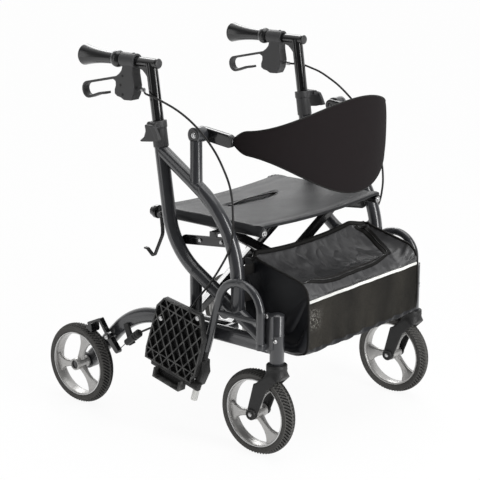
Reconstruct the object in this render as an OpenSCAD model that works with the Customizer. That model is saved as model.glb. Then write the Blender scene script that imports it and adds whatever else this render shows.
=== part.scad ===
// Rollator transport chair: a walking frame on four wheels that folds sideways on a cross brace.
// The walking direction is -Y, the walker's right side is -X and the floor is z = 0.
// Every side piece is drawn once, for the right side, and mirrored for the left.

/* [Overall] */
// Half the distance between the centre planes of the two side frames
frame_x = 266; // [250:1:290]
// Distance between the front and rear axles
wheel_base = 545; // [530:1:580]
// Height of the handlebars' centre line
handle_z = 860; // [850:1:880]
// Height of the seat rails' centre line
seat_z = 500; // [495:1:508]

/* [Wheels] */
// Outer radius of all four wheels
wheel_r = 100; // [96:1:102]
// Width of the tyres
tyre_w = 36; // [30:1:40]
// Depth of the tyres, from tread to rim
tyre_h = 20; // [15:1:24]
// Radius of the tread's crown across the tyre
tread_crown_r = 24; // [22:1:40]
// Thickness of the rim's barrel
rim_wall = 5; // [4:1:8]
// Thickness of the three spokes
spoke_t = 13; // [8:1:18]
// Width of a spoke at the hub
spoke_in_w = 15; // [10:1:18]
// Width of a spoke at the rim
spoke_out_w = 34; // [20:1:40]
// Radius of the wheel hubs
hub_r = 15; // [13:1:20]
// Radius of the rear axles
rear_axle_r = 6; // [4:0.5:8]
// Radius of the caster axles
caster_axle_r = 5; // [4:0.5:6]
// Distance from the swivel axis back to the caster axle
caster_trail = 52.5; // [45:0.5:55]
// Thickness of each fork leg
fork_leg_t = 6; // [4:1:9]
// Radius of the fork's swivel stem
stem_r = 8; // [6:0.5:9]
// Radius of the fork's crown
crown_r = 23; // [21:0.5:26]

/* [Side frame] */
// Outer radius of the main frame tubes
tube_r = 16; // [14.5:0.5:17]
// Wall of the main frame tubes
tube_wall = 2.2; // [1.5:0.1:2.2]
// Lean of the uprights towards the rear, in degrees
upright_tilt = 8.3; // [6:0.1:10]
// Where the rear tube's upper and lower lines would meet, along the chair
rear_corner_y = -17.4; // [-25:0.1:-10]
// Height of that meeting point
rear_corner_z = 437; // [430:1:445]
// Bend radius of the rear tube
rear_bend_r = 175; // [150:1:190]
// Slope of the rear tube's lower run, in degrees
rear_slope = 30.8; // [30:0.1:32]
// Height of the rear tube's open top
rear_tube_top_z = 714; // [705:1:718]
// Height where the front tube leaves the rear tube
front_top_z = 664; // [655:1:670]
// Slope of the front tube's upper run, in degrees
front_slope = 32.8; // [31:0.1:34]
// Position of the front tube's vertical run
front_y = -212; // [-218:1:-206]
// Bend radius of the front tube
front_bend_r = 240; // [200:1:250]
// Radius of the backrest post and of the short strut
post_r = 14; // [13:0.5:14.5]
// Position of the backrest post
post_y = -90; // [-94:1:-85]
// Height of the backrest pivot
backrest_z = 711; // [700:1:720]
// Radius of the backrest post's knuckle
knuckle_r = 18; // [16.5:0.5:20]
// Position of the short strut between the rear tube and the bottom rail
strut_y = -85; // [-90:1:-80]
// Height of the bottom rail's centre line
rail_z = 259.5; // [257:0.5:264]
// Height of the bottom rail's oval section
rail_h = 38; // [34:1:40]
// Width of the bottom rail's oval section
rail_w = 22; // [18:1:24]
// Bend radius of the bottom rail
rail_bend_r = 200; // [150:1:210]
// How far inboard of the frame plane the bottom rail runs
rail_inset = 8; // [6:1:10]
// Outer radius of the caster housing
housing_r = 16.5; // [15:0.5:18]
// Height of the housing above the fork's crown
housing_h = 118; // [105:1:125]

/* [Handles and brakes] */
// Radius of the sliding uprights
upright_r = 13.5; // [12:0.1:13.5]
// Wall of the uprights and the handlebars
handle_wall = 2; // [1.5:0.1:3]
// Radius of the handlebars
bar_r = 11; // [10:0.5:12]
// Front end of the handlebars
bar_front_y = 22; // [18:1:24]
// Rear end of the hand grips
grip_rear_y = 260; // [252:1:264]
// Radius of the hand grip's waist
grip_waist_r = 14; // [13:0.5:15]
// Radius of the hand grip's flared end
grip_end_r = 25; // [21:0.5:26]
// Radius of the round collar in front of the grip
collar_r = 20; // [18:0.5:22]
// Width of the brake housing
brake_w = 27; // [26:1:32]
// Width of the brake lever's strap
lever_w = 20; // [16:1:21]
// Thickness of the brake lever's strap
lever_t = 6; // [4:0.5:7]
// Radius of the brake lever's pivot pin
lever_pin_r = 3; // [2:0.5:4]
// Radius of the brake cables
cable_r = 2.5; // [2:0.1:2.5]
// Gap between the resting brake shoe and the tyre
shoe_gap = 3; // [2.8:0.1:5]
// Radius of the height clamp
clamp_r = 19.5; // [18.5:0.5:21]

/* [Footrests] */
// Distance of the hanger's plane outboard of the side frame's plane
hanger_out = 34; // [33:1:38]
// Outer radius of the hanger's tube
hanger_r = 9.5; // [9:0.5:10.5]
// Radius of the pin that the hanger swings on
hanger_pin_r = 6; // [5:0.5:6.5]
// Radius of the telescopic leg
leg_r = 8; // [7:0.5:8]
// Lean of the leg, in degrees
leg_lean = 17; // [16:0.5:18]
// Bend radius of the hanger's arch
arch_r = 58; // [50:1:60]
// Thickness of the footplate's skin
plate_t = 4; // [3:0.5:5]
// Depth of the ribs under the footplate
rib_h = 10; // [8:1:14]
// Thickness of the ribs under the footplate
rib_t = 3; // [2:0.5:4]
// Radius of the footplate's hinge barrel
barrel_r = 9; // [8:0.5:10]
// Radius of the footplate's hinge pin
plate_pin_r = 5; // [4:0.5:6]

/* [Seat, brace and backrest] */
// Radius of the seat rails
seat_rail_r = 10; // [9:0.5:11]
// Rear end of the seat rails
seat_rear_y = 72; // [68:1:78]
// Front end of the seat rails
seat_front_y = -240; // [-246:1:-234]
// Height of the brace's lower pivots
brace_z = 262; // [260:1:266]
// Radius of the brace's lower pivot rods
brace_rod_r = 8; // [6:0.5:9]
// Height of the brace bars' section
brace_h = 20; // [16:1:22]
// Thickness of the brace bars
brace_t = 14; // [12:1:18]
// Radius of the brace's centre bolt
brace_bolt_r = 6; // [5:0.5:7]
// Thickness of the backrest arms
arm_t = 15; // [12:0.5:16]
// Half the height of the backrest arms
arm_r = 15; // [13:0.5:16]
// Length of the backrest arms between their end centres
arm_len = 73; // [66:1:80]
// Droop of the backrest arms towards the front, in degrees
arm_droop = 7; // [4:0.5:9]
// How far the backrest band bulges in front of the arms
band_bulge = 169; // [140:1:180]
// Height of the backrest band's middle above its ends
band_rise = 88; // [70:1:95]
// Depth of the backrest band's middle below its ends
band_drop = 128; // [100:1:135]
// Thickness of the backrest band's padding in its middle
band_t = 16; // [12:1:20]
// Thickness of the seat's padded cloth
sling_t = 6; // [4:1:8]
// Sag of the seat cloth in its middle
sling_sag = 10; // [4:1:14]
// Wall of the storage bag
bag_wall = 2; // [1.5:0.5:3]

/* [Hidden] */
$fn = 48;
SIDE_PIECES = [
    "rear_tube", "front_tube", "bottom_rail", "caster_housing", "seat_rest", "height_clamp",
    "clamp_lever", "handle_tube", "hand_grip", "brake_housing", "brake_lever", "brake_cable",
    "cable_adjuster", "brake_arm", "rear_rim", "rear_tyre", "rear_axle", "caster_fork",
    "caster_rim", "caster_tyre", "caster_axle", "footrest_hanger", "footrest_leg", "footplate",
    "backrest_arm", "seat_rail", "cross_arm"
];

PAINT = "#3a3b3e";
GLOSS = "#18181a";
PLASTIC = "#4a4a4c";
RUBBER = "#2c2c2e";
RIM = "#a9abae";
STEEL = "#d5d6d8";
CLOTH = "#333436";
BAND = "#1f1e1e";

// Clearances: free gap between moving bodies, radial running fit and close fit in one body
gap = 0.3;
run_fit = 0.05;
close_fit = 0.05;
// Straight runs of a bent tube are a seam thinner than its bends, and lap into them
seam = 0.05;
lap = 1;

// Main planes and lines, all for the right side, so x is negative
rail_x = -(frame_x - rail_inset);
wheel_gap = 3;
rear_wheel_x = rail_x - rail_w / 2 - wheel_gap - tyre_w / 2;
hanger_x = -(frame_x + hanger_out);
rear_y = wheel_base / 2;
caster_y = -wheel_base / 2;
swivel_y = caster_y - caster_trail;
rim_r = wheel_r - tyre_h;
crown_top_z = 2 * wheel_r + 24.7;
housing_z0 = crown_top_z + gap;
housing_z1 = housing_z0 + housing_h;
function upright_at(z) = [rear_corner_y + (z - rear_corner_z) * tan(upright_tilt), z];
function lower_at(y) = [y, rear_corner_z + (y - rear_corner_y) * tan(rear_slope)];
upright_dir = [sin(upright_tilt), cos(upright_tilt)];
upright_cross = upright_at(handle_z);
rear_path = [lower_at(swivel_y), [rear_corner_y, rear_corner_z], upright_at(rear_tube_top_z)];
front_top = upright_at(front_top_z);
front_corner = [front_y, front_top_z - (front_top.x - front_y) * tan(front_slope)];
front_path = [lower_at(front_y), front_corner, front_top];
post_foot_z = front_top_z - (front_top.x - post_y) * tan(front_slope);
rail_corner = [rear_y - (rail_z - wheel_r), rail_z];
rail_path = [[swivel_y, rail_z], rail_corner, [rear_y, wheel_r]];

// The backrest arms run inside the height clamps, and the seat rails rise inside the arms
arm_x0 = -(frame_x - clamp_r - 2.5);
arm_x1 = arm_x0 + arm_t;
arm_tip = [post_y - arm_len * cos(arm_droop), backrest_z - arm_len * sin(arm_droop)];
pass_gap = 1.5;
seat_x = -(abs(arm_x1) - pass_gap - seat_rail_r);

// Brace: the right arm is a pair of bars with the left arm's single bar between them
brace_rise = seat_z - brace_z;
brace_angle = atan2(brace_rise, 2 * abs(seat_x));
brace_len = norm([2 * seat_x, brace_rise]);
brace_front_y = -145;
brace_rear_y = -30;
brace_mid_y = -95;
brace_sleeve_r = brace_rod_r + 4;
sleeve_y0 = brace_front_y - brace_t / 2 - 3;
sleeve_y1 = brace_rear_y + brace_t / 2 + 3;
lug_t = 8;
strut_out = 6.5;
boss_out = 0.5;
arm_pin_r = 5;
brake_pin_r = 5;
brace_centre_z = brace_z + brace_rise / 2;

// Footrest: the leg's line, and the footplate's own axes along and across the leg
hanger_y = -305.5;
hanger_foot_z = 276;
arch_z = 403;
leg_low = [-151.7, 242];
function leg_at(z) = [leg_low.x - (z - leg_low.y) * tan(leg_lean), z];
leg_down = [sin(leg_lean), -cos(leg_lean)];
hanger_end_z = 226;
leg_top_z = 310;
leg_end_z = 99;
crossbar_z = 324;
crossbar_r = 6;
hanger_path = [[hanger_y, hanger_foot_z], [hanger_y, arch_z], leg_at(arch_z), leg_at(hanger_end_z)];
plate_hinge = [-130, 142];
plate_lean = 13.5;
plate_x = hanger_x - 20;
plate_len = 177;
plate_wide = 161;
plate_outline = [
    [8, 4], [8, 16], [0, 24], [-5, 120], [4, 148], [18, plate_len], [129, plate_len - 7], [146, plate_len - 33],
    [plate_wide - 5, 31], [plate_wide - 7, 4]
];
plate_mid = [plate_wide / 2 - 5, plate_len / 2];
barrel_start = 8;
barrel_len = 125;
ear_len = 18;
// Outline of the block that holds the footplate's hinge on the leg, in the footplate's axes
block_outline = [[7.5, -4], [7.5, 14], [14, 24], [14, 62], [-3, 62], [-6, 48], [-11, 34], [-4, 4], [-2, -4]];
// Heel channel below the hinge: start, length, depth, reach outboard and wall
heel_start = 29;
heel_len = 83;
heel_depth = 24;
heel_out = 22;
heel_wall = 4;

// Brake lever pivot, brake arm pivot and the ends of the cable, in the side plane
lever_pivot = [130, handle_z - 58];
brake_pivot = [178, 186];
brake_arm_x = rear_wheel_x + 4;
adjuster_x = rail_x - rail_w / 2 - 13;
adjuster_front = [79, 216];
adjuster_rear = [124, 181];
ferrule = [74, handle_z - 64];
cable_clear = 1.2;
cable_out_x = -(frame_x + clamp_r + cable_r + cable_clear);
cable_tube_x = -(frame_x + tube_r + 3.3);
// Free run of the brake cable, chosen by hand: x, y and the share of its height above the tube's clip
cable_clip_z = 549;
cable_fall = [
    [-frame_x, 73.2, 1], [-frame_x, 68, 1], [(cable_out_x - frame_x) / 2, 56, 0.995], [cable_out_x, 40, 0.985],
    [cable_out_x, 16, 0.965], [cable_out_x, -12, 0.935], [-286, -42, 0.89], [-284, -72, 0.832],
    [-282, -101, 0.757], [-281, -131, 0.659], [-280, -160, 0.535], [-281, -183, 0.405], [-282, -201, 0.271],
    [-283, -210, 0.138], [cable_tube_x, -214, 0]
];
// Its run along the tube and the bottom rail: x, y, z
cable_run = [
    [cable_tube_x, -214, 515], [cable_tube_x, -204, 470], [cable_tube_x, -173, 418],
    [cable_tube_x, -144, 379], [cable_tube_x, -112, 341], [-283, -80, 303], [-280, -40, 276],
    [adjuster_x, 10, 250], [adjuster_x, 45, 234], [adjuster_x, 78.6, 216.3]
];
cable_points = concat(
    [for (p = cable_fall) [p.x, p.y, cable_clip_z + (ferrule.y - cable_clip_z) * p.z]], cable_run
);
cable_steps = 3;

// Seat, bag and backrest band outlines
sling_x = abs(seat_x) + seat_rail_r + 3;
sling_y0 = seat_front_y - 6;
sling_y1 = seat_rear_y - 8;
sling_nx = 16;
sling_ny = 10;
bag_x = 215;
bag_outline = [[-188, 436], [-344, 408], [-370, 376], [-372.5, 272], [-359, 234], [-190, 260]];
bag_inner = [[-190, 433], [-343, 405], [-368, 375], [-370.5, 272], [-357.5, 236.3], [-192, 262]];
band_x = abs(arm_x0) - arm_t / 2;
band_end_y = arm_tip.x - arm_r - gap;
band_end_half_h = 8;
band_neck_h = 25;
band_end_t = 5;
band_n = 44;
band_m = 8;

// Flat helpers
function unit(v) = v / norm(v);
function turn_of(a, b, c) =
    let (u = unit(b - a), v = unit(c - b)) atan2(u.x * v.y - u.y * v.x, u * v);
function tangent_of(a, b, c, r) = r * tan(abs(turn_of(a, b, c)) / 2);

module ring(r, wall) {
    difference() {
        circle(r);
        circle(r - wall);
    }
}

// A flat-sided oval, h along local X and w along local Y
module oval(h, w) {
    steps = 8;
    polygon([for (end = [0, 1]) for (k = [0:steps])
        let (a = -90 + 180 * end + 180 * k / steps)
        [(h - w) / 2 * (end == 0 ? 1 : -1) + w / 2 * cos(a), w / 2 * sin(a)]]);
}

// A bar with round ends, its straight run a seam thinner than the ends
module capsule(p, q, r) {
    half = r - seam;
    for (c = [p, q]) translate(c) circle(r);
    translate(p) rotate(atan2(q.y - p.y, q.x - p.x)) translate([0, -half]) square([norm(q - p), 2 * half]);
}

// Sweeps a flat section along a bent line of points, with a bend radius at each inner point.
// The first child is the bends' section and the second the straight runs', a seam smaller.
module along(points, radii, over = 0) {
    n = len(points);
    cut = [for (i = [0:n - 1]) i == 0 || i == n - 1 ? 0
        : tangent_of(points[i - 1], points[i], points[i + 1], radii[i])];
    reach = [for (i = [0:n - 1]) i == 0 || i == n - 1 ? over : lap];
    for (i = [0:n - 2]) {
        d = unit(points[i + 1] - points[i]);
        run = norm(points[i + 1] - points[i]) - cut[i] - cut[i + 1] + reach[i] + reach[i + 1];
        translate(points[i] + d * (cut[i] - reach[i]))
            rotate([0, 0, atan2(d.y, d.x)]) rotate([90, 0, 90]) linear_extrude(run) children(1);
    }
    for (i = [1:1:n - 2]) {
        u = unit(points[i] - points[i - 1]);
        t = turn_of(points[i - 1], points[i], points[i + 1]);
        inward = [-u.y, u.x] * sign(t);
        start = atan2(-inward.y, -inward.x);
        translate(points[i] - u * cut[i] + inward * radii[i])
            rotate([0, 0, t > 0 ? start : start + t])
            rotate_extrude(angle = abs(t)) translate([radii[i], 0]) children(0);
    }
}

module rod(points, radii, r, over = 0) {
    along(points, radii, over) {
        circle(r);
        circle(r - seam);
    }
}

module pipe(points, radii, r, wall) {
    difference() {
        rod(points, radii, r);
        rod(points, radii, r - wall, 1);
    }
}

module oval_bar(points, radii, h, w, over = 0) {
    along(points, radii, over) {
        oval(h, w);
        oval(h - 2 * seam, w - 2 * seam);
    }
}

// Turns flat coordinates (y, z) into the side plane at a given x, with depth along +X
module side(x) {
    translate([x, 0, 0]) rotate([90, 0, 90]) children();
}

module slab(x0, x1) {
    side(x0) linear_extrude(x1 - x0) children();
}

module disc(x0, x1, at, r) {
    slab(x0, x1) translate(at) circle(r);
}

module along_y(x, z, y0, y1, r) {
    translate([x, y1, z]) rotate([90, 0, 0]) cylinder(h = y1 - y0, r = r);
}

module left() {
    mirror([1, 0, 0]) children();
}

// Solid spaces that neighbours are cut back from
module rear_tube_space() {
    side(-frame_x) rod(rear_path, [0, rear_bend_r, 0], tube_r + close_fit);
}

module front_tube_space() {
    side(-frame_x) rod(front_path, [0, front_bend_r, 0], tube_r + close_fit);
}

module rail_space() {
    side(rail_x) oval_bar(rail_path, [0, rail_bend_r, 0], rail_h + 2 * close_fit, rail_w + 2 * close_fit);
}

module housing_space() {
    translate([-frame_x, swivel_y, housing_z0 - 1]) cylinder(h = housing_h + 2, r = housing_r + close_fit);
}

// Side frame
module rear_tube() {
    color(PAINT) difference() {
        side(-frame_x) pipe(rear_path, [0, rear_bend_r, 0], tube_r, tube_wall);
        rail_space();
        housing_space();
    }
}

module front_tube() {
    post_h = backrest_z - knuckle_r + 6 - post_foot_z;
    knuckle_out = 8;
    color(PAINT) {
        difference() {
            union() {
                side(-frame_x) rod(front_path, [0, front_bend_r, 0], tube_r);
                translate([-frame_x, post_y, post_foot_z]) cylinder(h = post_h, r = post_r);
                disc(-frame_x - knuckle_out, arm_x0 - gap, [post_y, backrest_z], knuckle_r);
            }
            side(-frame_x) rod(front_path, [0, front_bend_r, 0], tube_r - tube_wall, 1);
            rear_tube_space();
        }
        disc(arm_x0 - gap - 1, arm_x1 - 2, [post_y, backrest_z], arm_pin_r);
    }
}

module bottom_rail() {
    lug_ys = [sleeve_y0 - gap - lug_t, sleeve_y1 + gap];
    boss_r = rail_h / 2 + 1;
    strut_h = lower_at(strut_y).y - rail_z;
    color(PAINT) difference() {
        union() {
            side(rail_x) oval_bar(rail_path, [0, rail_bend_r, 0], rail_h, rail_w);
            disc(rail_x - rail_w / 2 - boss_out, rail_x + rail_w / 2 + boss_out, [rear_y, wheel_r], boss_r);
            translate([rail_x - strut_out, strut_y, rail_z]) cylinder(h = strut_h, r = post_r);
            for (y = lug_ys) {
                translate([rail_x, y, brace_z - brace_sleeve_r])
                    cube([seat_x - rail_x, lug_t, 2 * brace_sleeve_r]);
                along_y(seat_x, brace_z, y, y + lug_t, brace_sleeve_r);
            }
            along_y(seat_x, brace_z, lug_ys[0] + 1, lug_ys[1] + lug_t - 1, brace_rod_r);
            disc(brake_arm_x - 11, rail_x, brake_pivot, brake_pin_r);
        }
        disc(rail_x - rail_w, rail_x + rail_w, [rear_y, wheel_r], rear_axle_r + close_fit);
        rear_tube_space();
        housing_space();
    }
}

// Foot of the hanger's pin, joined to the housing by an upright plate
module hanger_bracket() {
    foot_h = 14;
    plate_h = 64;
    foot_z = hanger_foot_z - gap - foot_h;
    translate([hanger_x, hanger_y, foot_z]) cylinder(h = foot_h, r = hanger_r);
    translate([hanger_x, hanger_y - hanger_r, foot_z])
        cube([-frame_x - hanger_x, 2 * hanger_r - 4, foot_h]);
    translate([hanger_x + hanger_r + 1, swivel_y - 4, foot_z])
        cube([hanger_out - hanger_r - 2, 30, foot_h + plate_h]);
}

module caster_housing() {
    color(PAINT) {
        difference() {
            union() {
                translate([-frame_x, swivel_y, housing_z0]) cylinder(h = housing_h - 5, r = housing_r);
                translate([-frame_x, swivel_y, housing_z1 - 5])
                    rotate_extrude() intersection() {
                        square([housing_r, 5]);
                        translate([0, -30]) circle(35, $fn = 96);
                    }
                translate([-frame_x, swivel_y, housing_z0 + 65]) cylinder(h = 4, r = housing_r + 0.8);
                difference() {
                    hanger_bracket();
                    rear_tube_space();
                    rail_space();
                }
            }
            translate([-frame_x, swivel_y, housing_z0 - 1])
                cylinder(h = housing_h - 15, r = stem_r + run_fit);
        }
        translate([hanger_x, hanger_y, hanger_foot_z - 10]) cylinder(h = 70, r = hanger_pin_r);
    }
}

module seat_rest() {
    bar_x0 = -(frame_x - tube_r) + 0.2;
    bar_t = 6;
    shelf_y0 = -134;
    shelf_w = 20;
    shelf_z = seat_z - seat_rail_r - gap;
    lip_x = seat_x + seat_rail_r + gap;
    rivets = [[-86, 464], [-150, 470]];
    color(GLOSS) {
        slab(bar_x0, bar_x0 + bar_t) capsule([-40, 458.5], [-180, 473], 11);
        translate([bar_x0, shelf_y0, 465]) cube([bar_t, shelf_w, shelf_z - 465]);
        translate([bar_x0, shelf_y0, shelf_z - 5]) cube([lip_x + 4 - bar_x0, shelf_w, 5]);
        translate([lip_x, shelf_y0, shelf_z - 5]) cube([4, shelf_w, seat_rail_r + 3]);
        for (p = rivets) disc(bar_x0 - 2.5, bar_x0 + 1, p, 4.5);
    }
}

// Handle height clamp, in a frame that stands on the upright's axis at a given height
module on_upright(z) {
    p = upright_at(z);
    translate([-frame_x, p.x, p.y]) rotate([-upright_tilt, 0, 0]) children();
}

clamp_z0 = rear_tube_top_z - 43;
clamp_h = 60;
collar_h = 16;
// The collar's step out from the sleeve, and the hinge's way forward of the upright's axis
collar_step = 1.7;
hinge_ahead = 8;
clamp_hinge_x = -(frame_x + clamp_r + 7.5);
clamp_hinge_z = clamp_z0 + 54;
clamp_y = upright_at(clamp_hinge_z).x - hinge_ahead;
clamp_ear_r = 6.5;
clamp_pin_r = 3;
clamp_boss_w = 16;
clamp_ear_w = 6;

module height_clamp() {
    half = clamp_boss_w / 2;
    pin = half + clamp_ear_w;
    web_in = 0.6;
    color(PLASTIC) difference() {
        union() {
            on_upright(clamp_z0) {
                cylinder(h = clamp_h - 1, r = clamp_r - collar_step);
                translate([0, 0, clamp_h - collar_h]) cylinder(h = collar_h, r = clamp_r);
            }
            translate([clamp_hinge_x, clamp_y - half + web_in, clamp_hinge_z - clamp_ear_r + web_in])
                cube([-frame_x - clamp_hinge_x, clamp_boss_w - 2 * web_in, 2 * (clamp_ear_r - web_in)]);
            along_y(clamp_hinge_x, clamp_hinge_z, clamp_y - half, clamp_y + half, clamp_ear_r);
            along_y(clamp_hinge_x, clamp_hinge_z, clamp_y - pin, clamp_y + pin, clamp_pin_r);
        }
        on_upright(rear_tube_top_z - 100) cylinder(h = 200, r = upright_r + gap);
        on_upright(rear_tube_top_z - 100)
            cylinder(h = 100 / cos(upright_tilt) + 0.5, r = tube_r + close_fit);
        front_tube_space();
    }
}

module clamp_lever() {
    horn = [
        [13, 1], [-12, 1], [-16, -8], [-22, -20], [-26, -31], [-8.6, -36], [25.6, -40], [30, -38],
        [17, -28], [12, -15]
    ];
    strip = [
        [4, 1.5], [-10, 1.5], [-18, -1], [-24.3, -11], [-33.4, -30], [-22, -33], [-15.5, -20], [-7, -6]
    ];
    color(PLASTIC) difference() {
        union() {
            translate([0, clamp_y, clamp_hinge_z]) {
                slab(clamp_hinge_x - 13, clamp_hinge_x - 7) polygon(horn);
                slab(clamp_hinge_x - 16, clamp_hinge_x - 7.5) polygon(strip);
            }
            for (s = [-1, 1]) {
                y0 = clamp_y + (s > 0 ? clamp_boss_w / 2 + gap : -clamp_boss_w / 2 - clamp_ear_w);
                along_y(clamp_hinge_x, clamp_hinge_z, y0, y0 + clamp_ear_w - gap, clamp_ear_r);
                translate([clamp_hinge_x - 12.5, y0, clamp_hinge_z - clamp_ear_r])
                    cube([12.5, clamp_ear_w - gap, clamp_ear_r]);
            }
        }
        along_y(clamp_hinge_x, clamp_hinge_z, clamp_y - 30, clamp_y + 30, clamp_pin_r + run_fit);
    }
}

// Handles and brakes
// The cap on the front end of the handlebar
bar_cap_len = 6;
bar_cap_lip = 0.5;

module handle_tube() {
    foot_z = rear_tube_top_z - 158;
    up_len = (handle_z - foot_z) / cos(upright_tilt);
    color(GLOSS) difference() {
        union() {
            on_upright(foot_z) cylinder(h = up_len, r = upright_r);
            along_y(-frame_x, handle_z, bar_front_y, grip_rear_y - 6, bar_r);
            along_y(-frame_x, handle_z, bar_front_y, bar_front_y + bar_cap_len, bar_r + bar_cap_lip);
            slab(-frame_x - 3, -frame_x + 3) polygon([
                upright_cross - upright_dir * 34, upright_cross + [11, -33], upright_cross + [16, -27],
                upright_cross + [25, -19], upright_cross + [38, -15], upright_cross + [38, -9], upright_cross
            ]);
        }
        on_upright(foot_z - 1) cylinder(h = up_len - bar_r, r = upright_r - handle_wall);
        along_y(-frame_x, handle_z, bar_front_y + 4, grip_rear_y, bar_r - handle_wall);
    }
}

grip_front_y = 162;

// Flare of the grip: a smooth rise from its waist to its end
function grip_r(t) = grip_waist_r + (grip_end_r - grip_waist_r) * pow(t, 2.2);

module hand_grip() {
    n = 12;
    run = grip_rear_y - grip_front_y - 5;
    bulb_y = 149;
    bulb_h = 12;
    color(GLOSS) translate([-frame_x, 0, handle_z]) rotate([-90, 0, 0]) {
        difference() {
            union() {
                rotate_extrude() polygon(concat(
                    [[0, grip_front_y]],
                    [for (i = [0:n]) [grip_r(i / n), grip_front_y + run * i / n]],
                    [[grip_end_r - 1.5, grip_rear_y - 2], [grip_end_r - 7, grip_rear_y], [0, grip_rear_y]]
                ));
                rotate_extrude() intersection() {
                    translate([0, bulb_y - bulb_h]) square([collar_r, 2 * bulb_h + 2]);
                    translate([collar_r - 16, bulb_y]) circle(16);
                }
                translate([0, 0, bulb_y]) cylinder(h = grip_front_y - bulb_y + 1, r = grip_waist_r - 1);
            }
            translate([0, 0, bulb_y - 40])
                cylinder(h = grip_rear_y - bulb_y + 34, r = bar_r + close_fit);
        }
    }
}

function under_bar(p) = [p.x, handle_z - p.y];
lever_boss_r = lever_pin_r + 6;

module brake_housing() {
    x0 = -frame_x - brake_w / 2;
    ring_y0 = 88;
    ring_y1 = 134;
    // Screws and outline: along the bar, and below its centre line
    screws = [[123, 36], [130, 58], [124, 79]];
    body = [
        [91, 9], [91, 30], [86, 57], [90, 77], [98, 91], [121, 92], [131, 87], [142, 85], [150, 80], [150, 70],
        [146, 60], [147, 48], [144, 38], [134, 31], [127, 23], [123, 10]
    ];
    slot_drop = 74;
    slot_h = 50;
    slot_y = lever_pivot.x - lever_boss_r - 1.5;
    color(PLASTIC) {
        difference() {
            union() {
                slab(x0, x0 + brake_w) polygon([for (p = body) under_bar(p)]);
                along_y(-frame_x, handle_z, ring_y0, ring_y1, bar_r + 6);
                along_y(-frame_x, ferrule.y, ferrule.x, ring_y0 + 6, cable_r + 1.5);
            }
            along_y(-frame_x, handle_z, ring_y0 - 1, ring_y1 + 1, bar_r + close_fit);
            translate([-frame_x - lever_w / 2 - 0.5, slot_y, handle_z - slot_drop])
                cube([lever_w + 1, slot_h, slot_h]);
            for (p = screws) disc(x0 - 1, x0 + 2, under_bar(p), 2.6);
        }
        disc(-frame_x - lever_w / 2 - 2, -frame_x + lever_w / 2 + 2, lever_pivot, lever_pin_r);
    }
}

module brake_lever() {
    strap = [for (p = [[136, 39.4], [262, 67], [252, 102], [206, 86], [184, 82.5]]) under_bar(p)];
    loop_r = 16;
    x0 = -frame_x - lever_w / 2;
    color(PLASTIC) difference() {
        union() {
            side(-frame_x) along(strap, [0, loop_r, loop_r, 30, 0]) {
                square([lever_t, lever_w], center = true);
                square([lever_t - 2 * seam, lever_w - 2 * seam], center = true);
            }
            slab(x0, x0 + lever_w) polygon([
                lever_pivot + [-8, 0], lever_pivot + [8, 0], under_bar([160, 46]), under_bar([137, 39.5]),
                under_bar([126, 43])
            ]);
            disc(x0, x0 + lever_w, lever_pivot, lever_boss_r);
        }
        disc(x0 - 1, x0 + lever_w + 1, lever_pivot, lever_pin_r + run_fit);
    }
}

// A tube of eight sides along smoothed points, closed at both ends
function smooth(p, i, t) =
    let (
        n = len(p) - 1,
        a = p[max(i - 1, 0)], b = p[i], c = p[min(i + 1, n)], d = p[min(i + 2, n)]
    )
    b + t / 2 * (c - a) + t * t * (a - 2.5 * b + 2 * c - d / 2) + t * t * t / 2 * (3 * b - a - 3 * c + d);
function route(p, steps) = concat(
    [for (i = [0:len(p) - 2]) for (k = [0:steps - 1]) smooth(p, i, k / steps)], [p[len(p) - 1]]
);

module swept(p, r) {
    sides = 8;
    n = len(p);
    rings = [for (i = [0:n - 1]) let (
        t = unit(p[min(i + 1, n - 1)] - p[max(i - 1, 0)]),
        a = unit(cross(t, [1, 0, 0])),
        b = cross(t, a)
    ) for (k = [0:sides - 1]) p[i] + r * (cos(360 * k / sides) * a + sin(360 * k / sides) * b)];
    quads = [for (i = [0:n - 2]) for (k = [0:sides - 1])
        [i * sides + k, i * sides + (k + 1) % sides, (i + 1) * sides + (k + 1) % sides, (i + 1) * sides + k]];
    ends = [[for (k = [0:sides - 1]) sides - 1 - k], [for (k = [0:sides - 1]) (n - 1) * sides + k]];
    polyhedron(rings, concat(
        [for (q = quads) [q[0], q[2], q[1]]], [for (q = quads) [q[0], q[3], q[2]]],
        [for (e = ends) for (k = [1:sides - 2]) [e[0], e[k + 1], e[k]]]
    ));
}

module brake_cable() {
    color(RUBBER) swept(route(cable_points, cable_steps), cable_r);
}

// Local Z runs along the adjuster's barrel from its front end
module on_adjuster() {
    d = adjuster_rear - adjuster_front;
    side(adjuster_x) translate(adjuster_front) rotate([0, 0, atan2(d.y, d.x)]) rotate([0, 90, 0])
        children();
}

module cable_adjuster() {
    barrel_len = norm(adjuster_rear - adjuster_front);
    plate_x1 = rail_x - rail_w / 2 - 0.2;
    color(GLOSS) {
        difference() {
            on_adjuster() {
                cylinder(h = barrel_len, r = 8);
                for (k = [0:2]) translate([0, 0, 3 + k * 9]) cylinder(h = 6, r = 10);
            }
            on_adjuster() translate([0, 0, barrel_len - 12]) cylinder(h = 30, r = 5);
        }
        slab(adjuster_x + 6, plate_x1) polygon([
            adjuster_rear + [-18, 0], adjuster_rear + [-2, -10], adjuster_rear + [16, 42],
            adjuster_rear + [2, 46]
        ]);
    }
}

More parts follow.
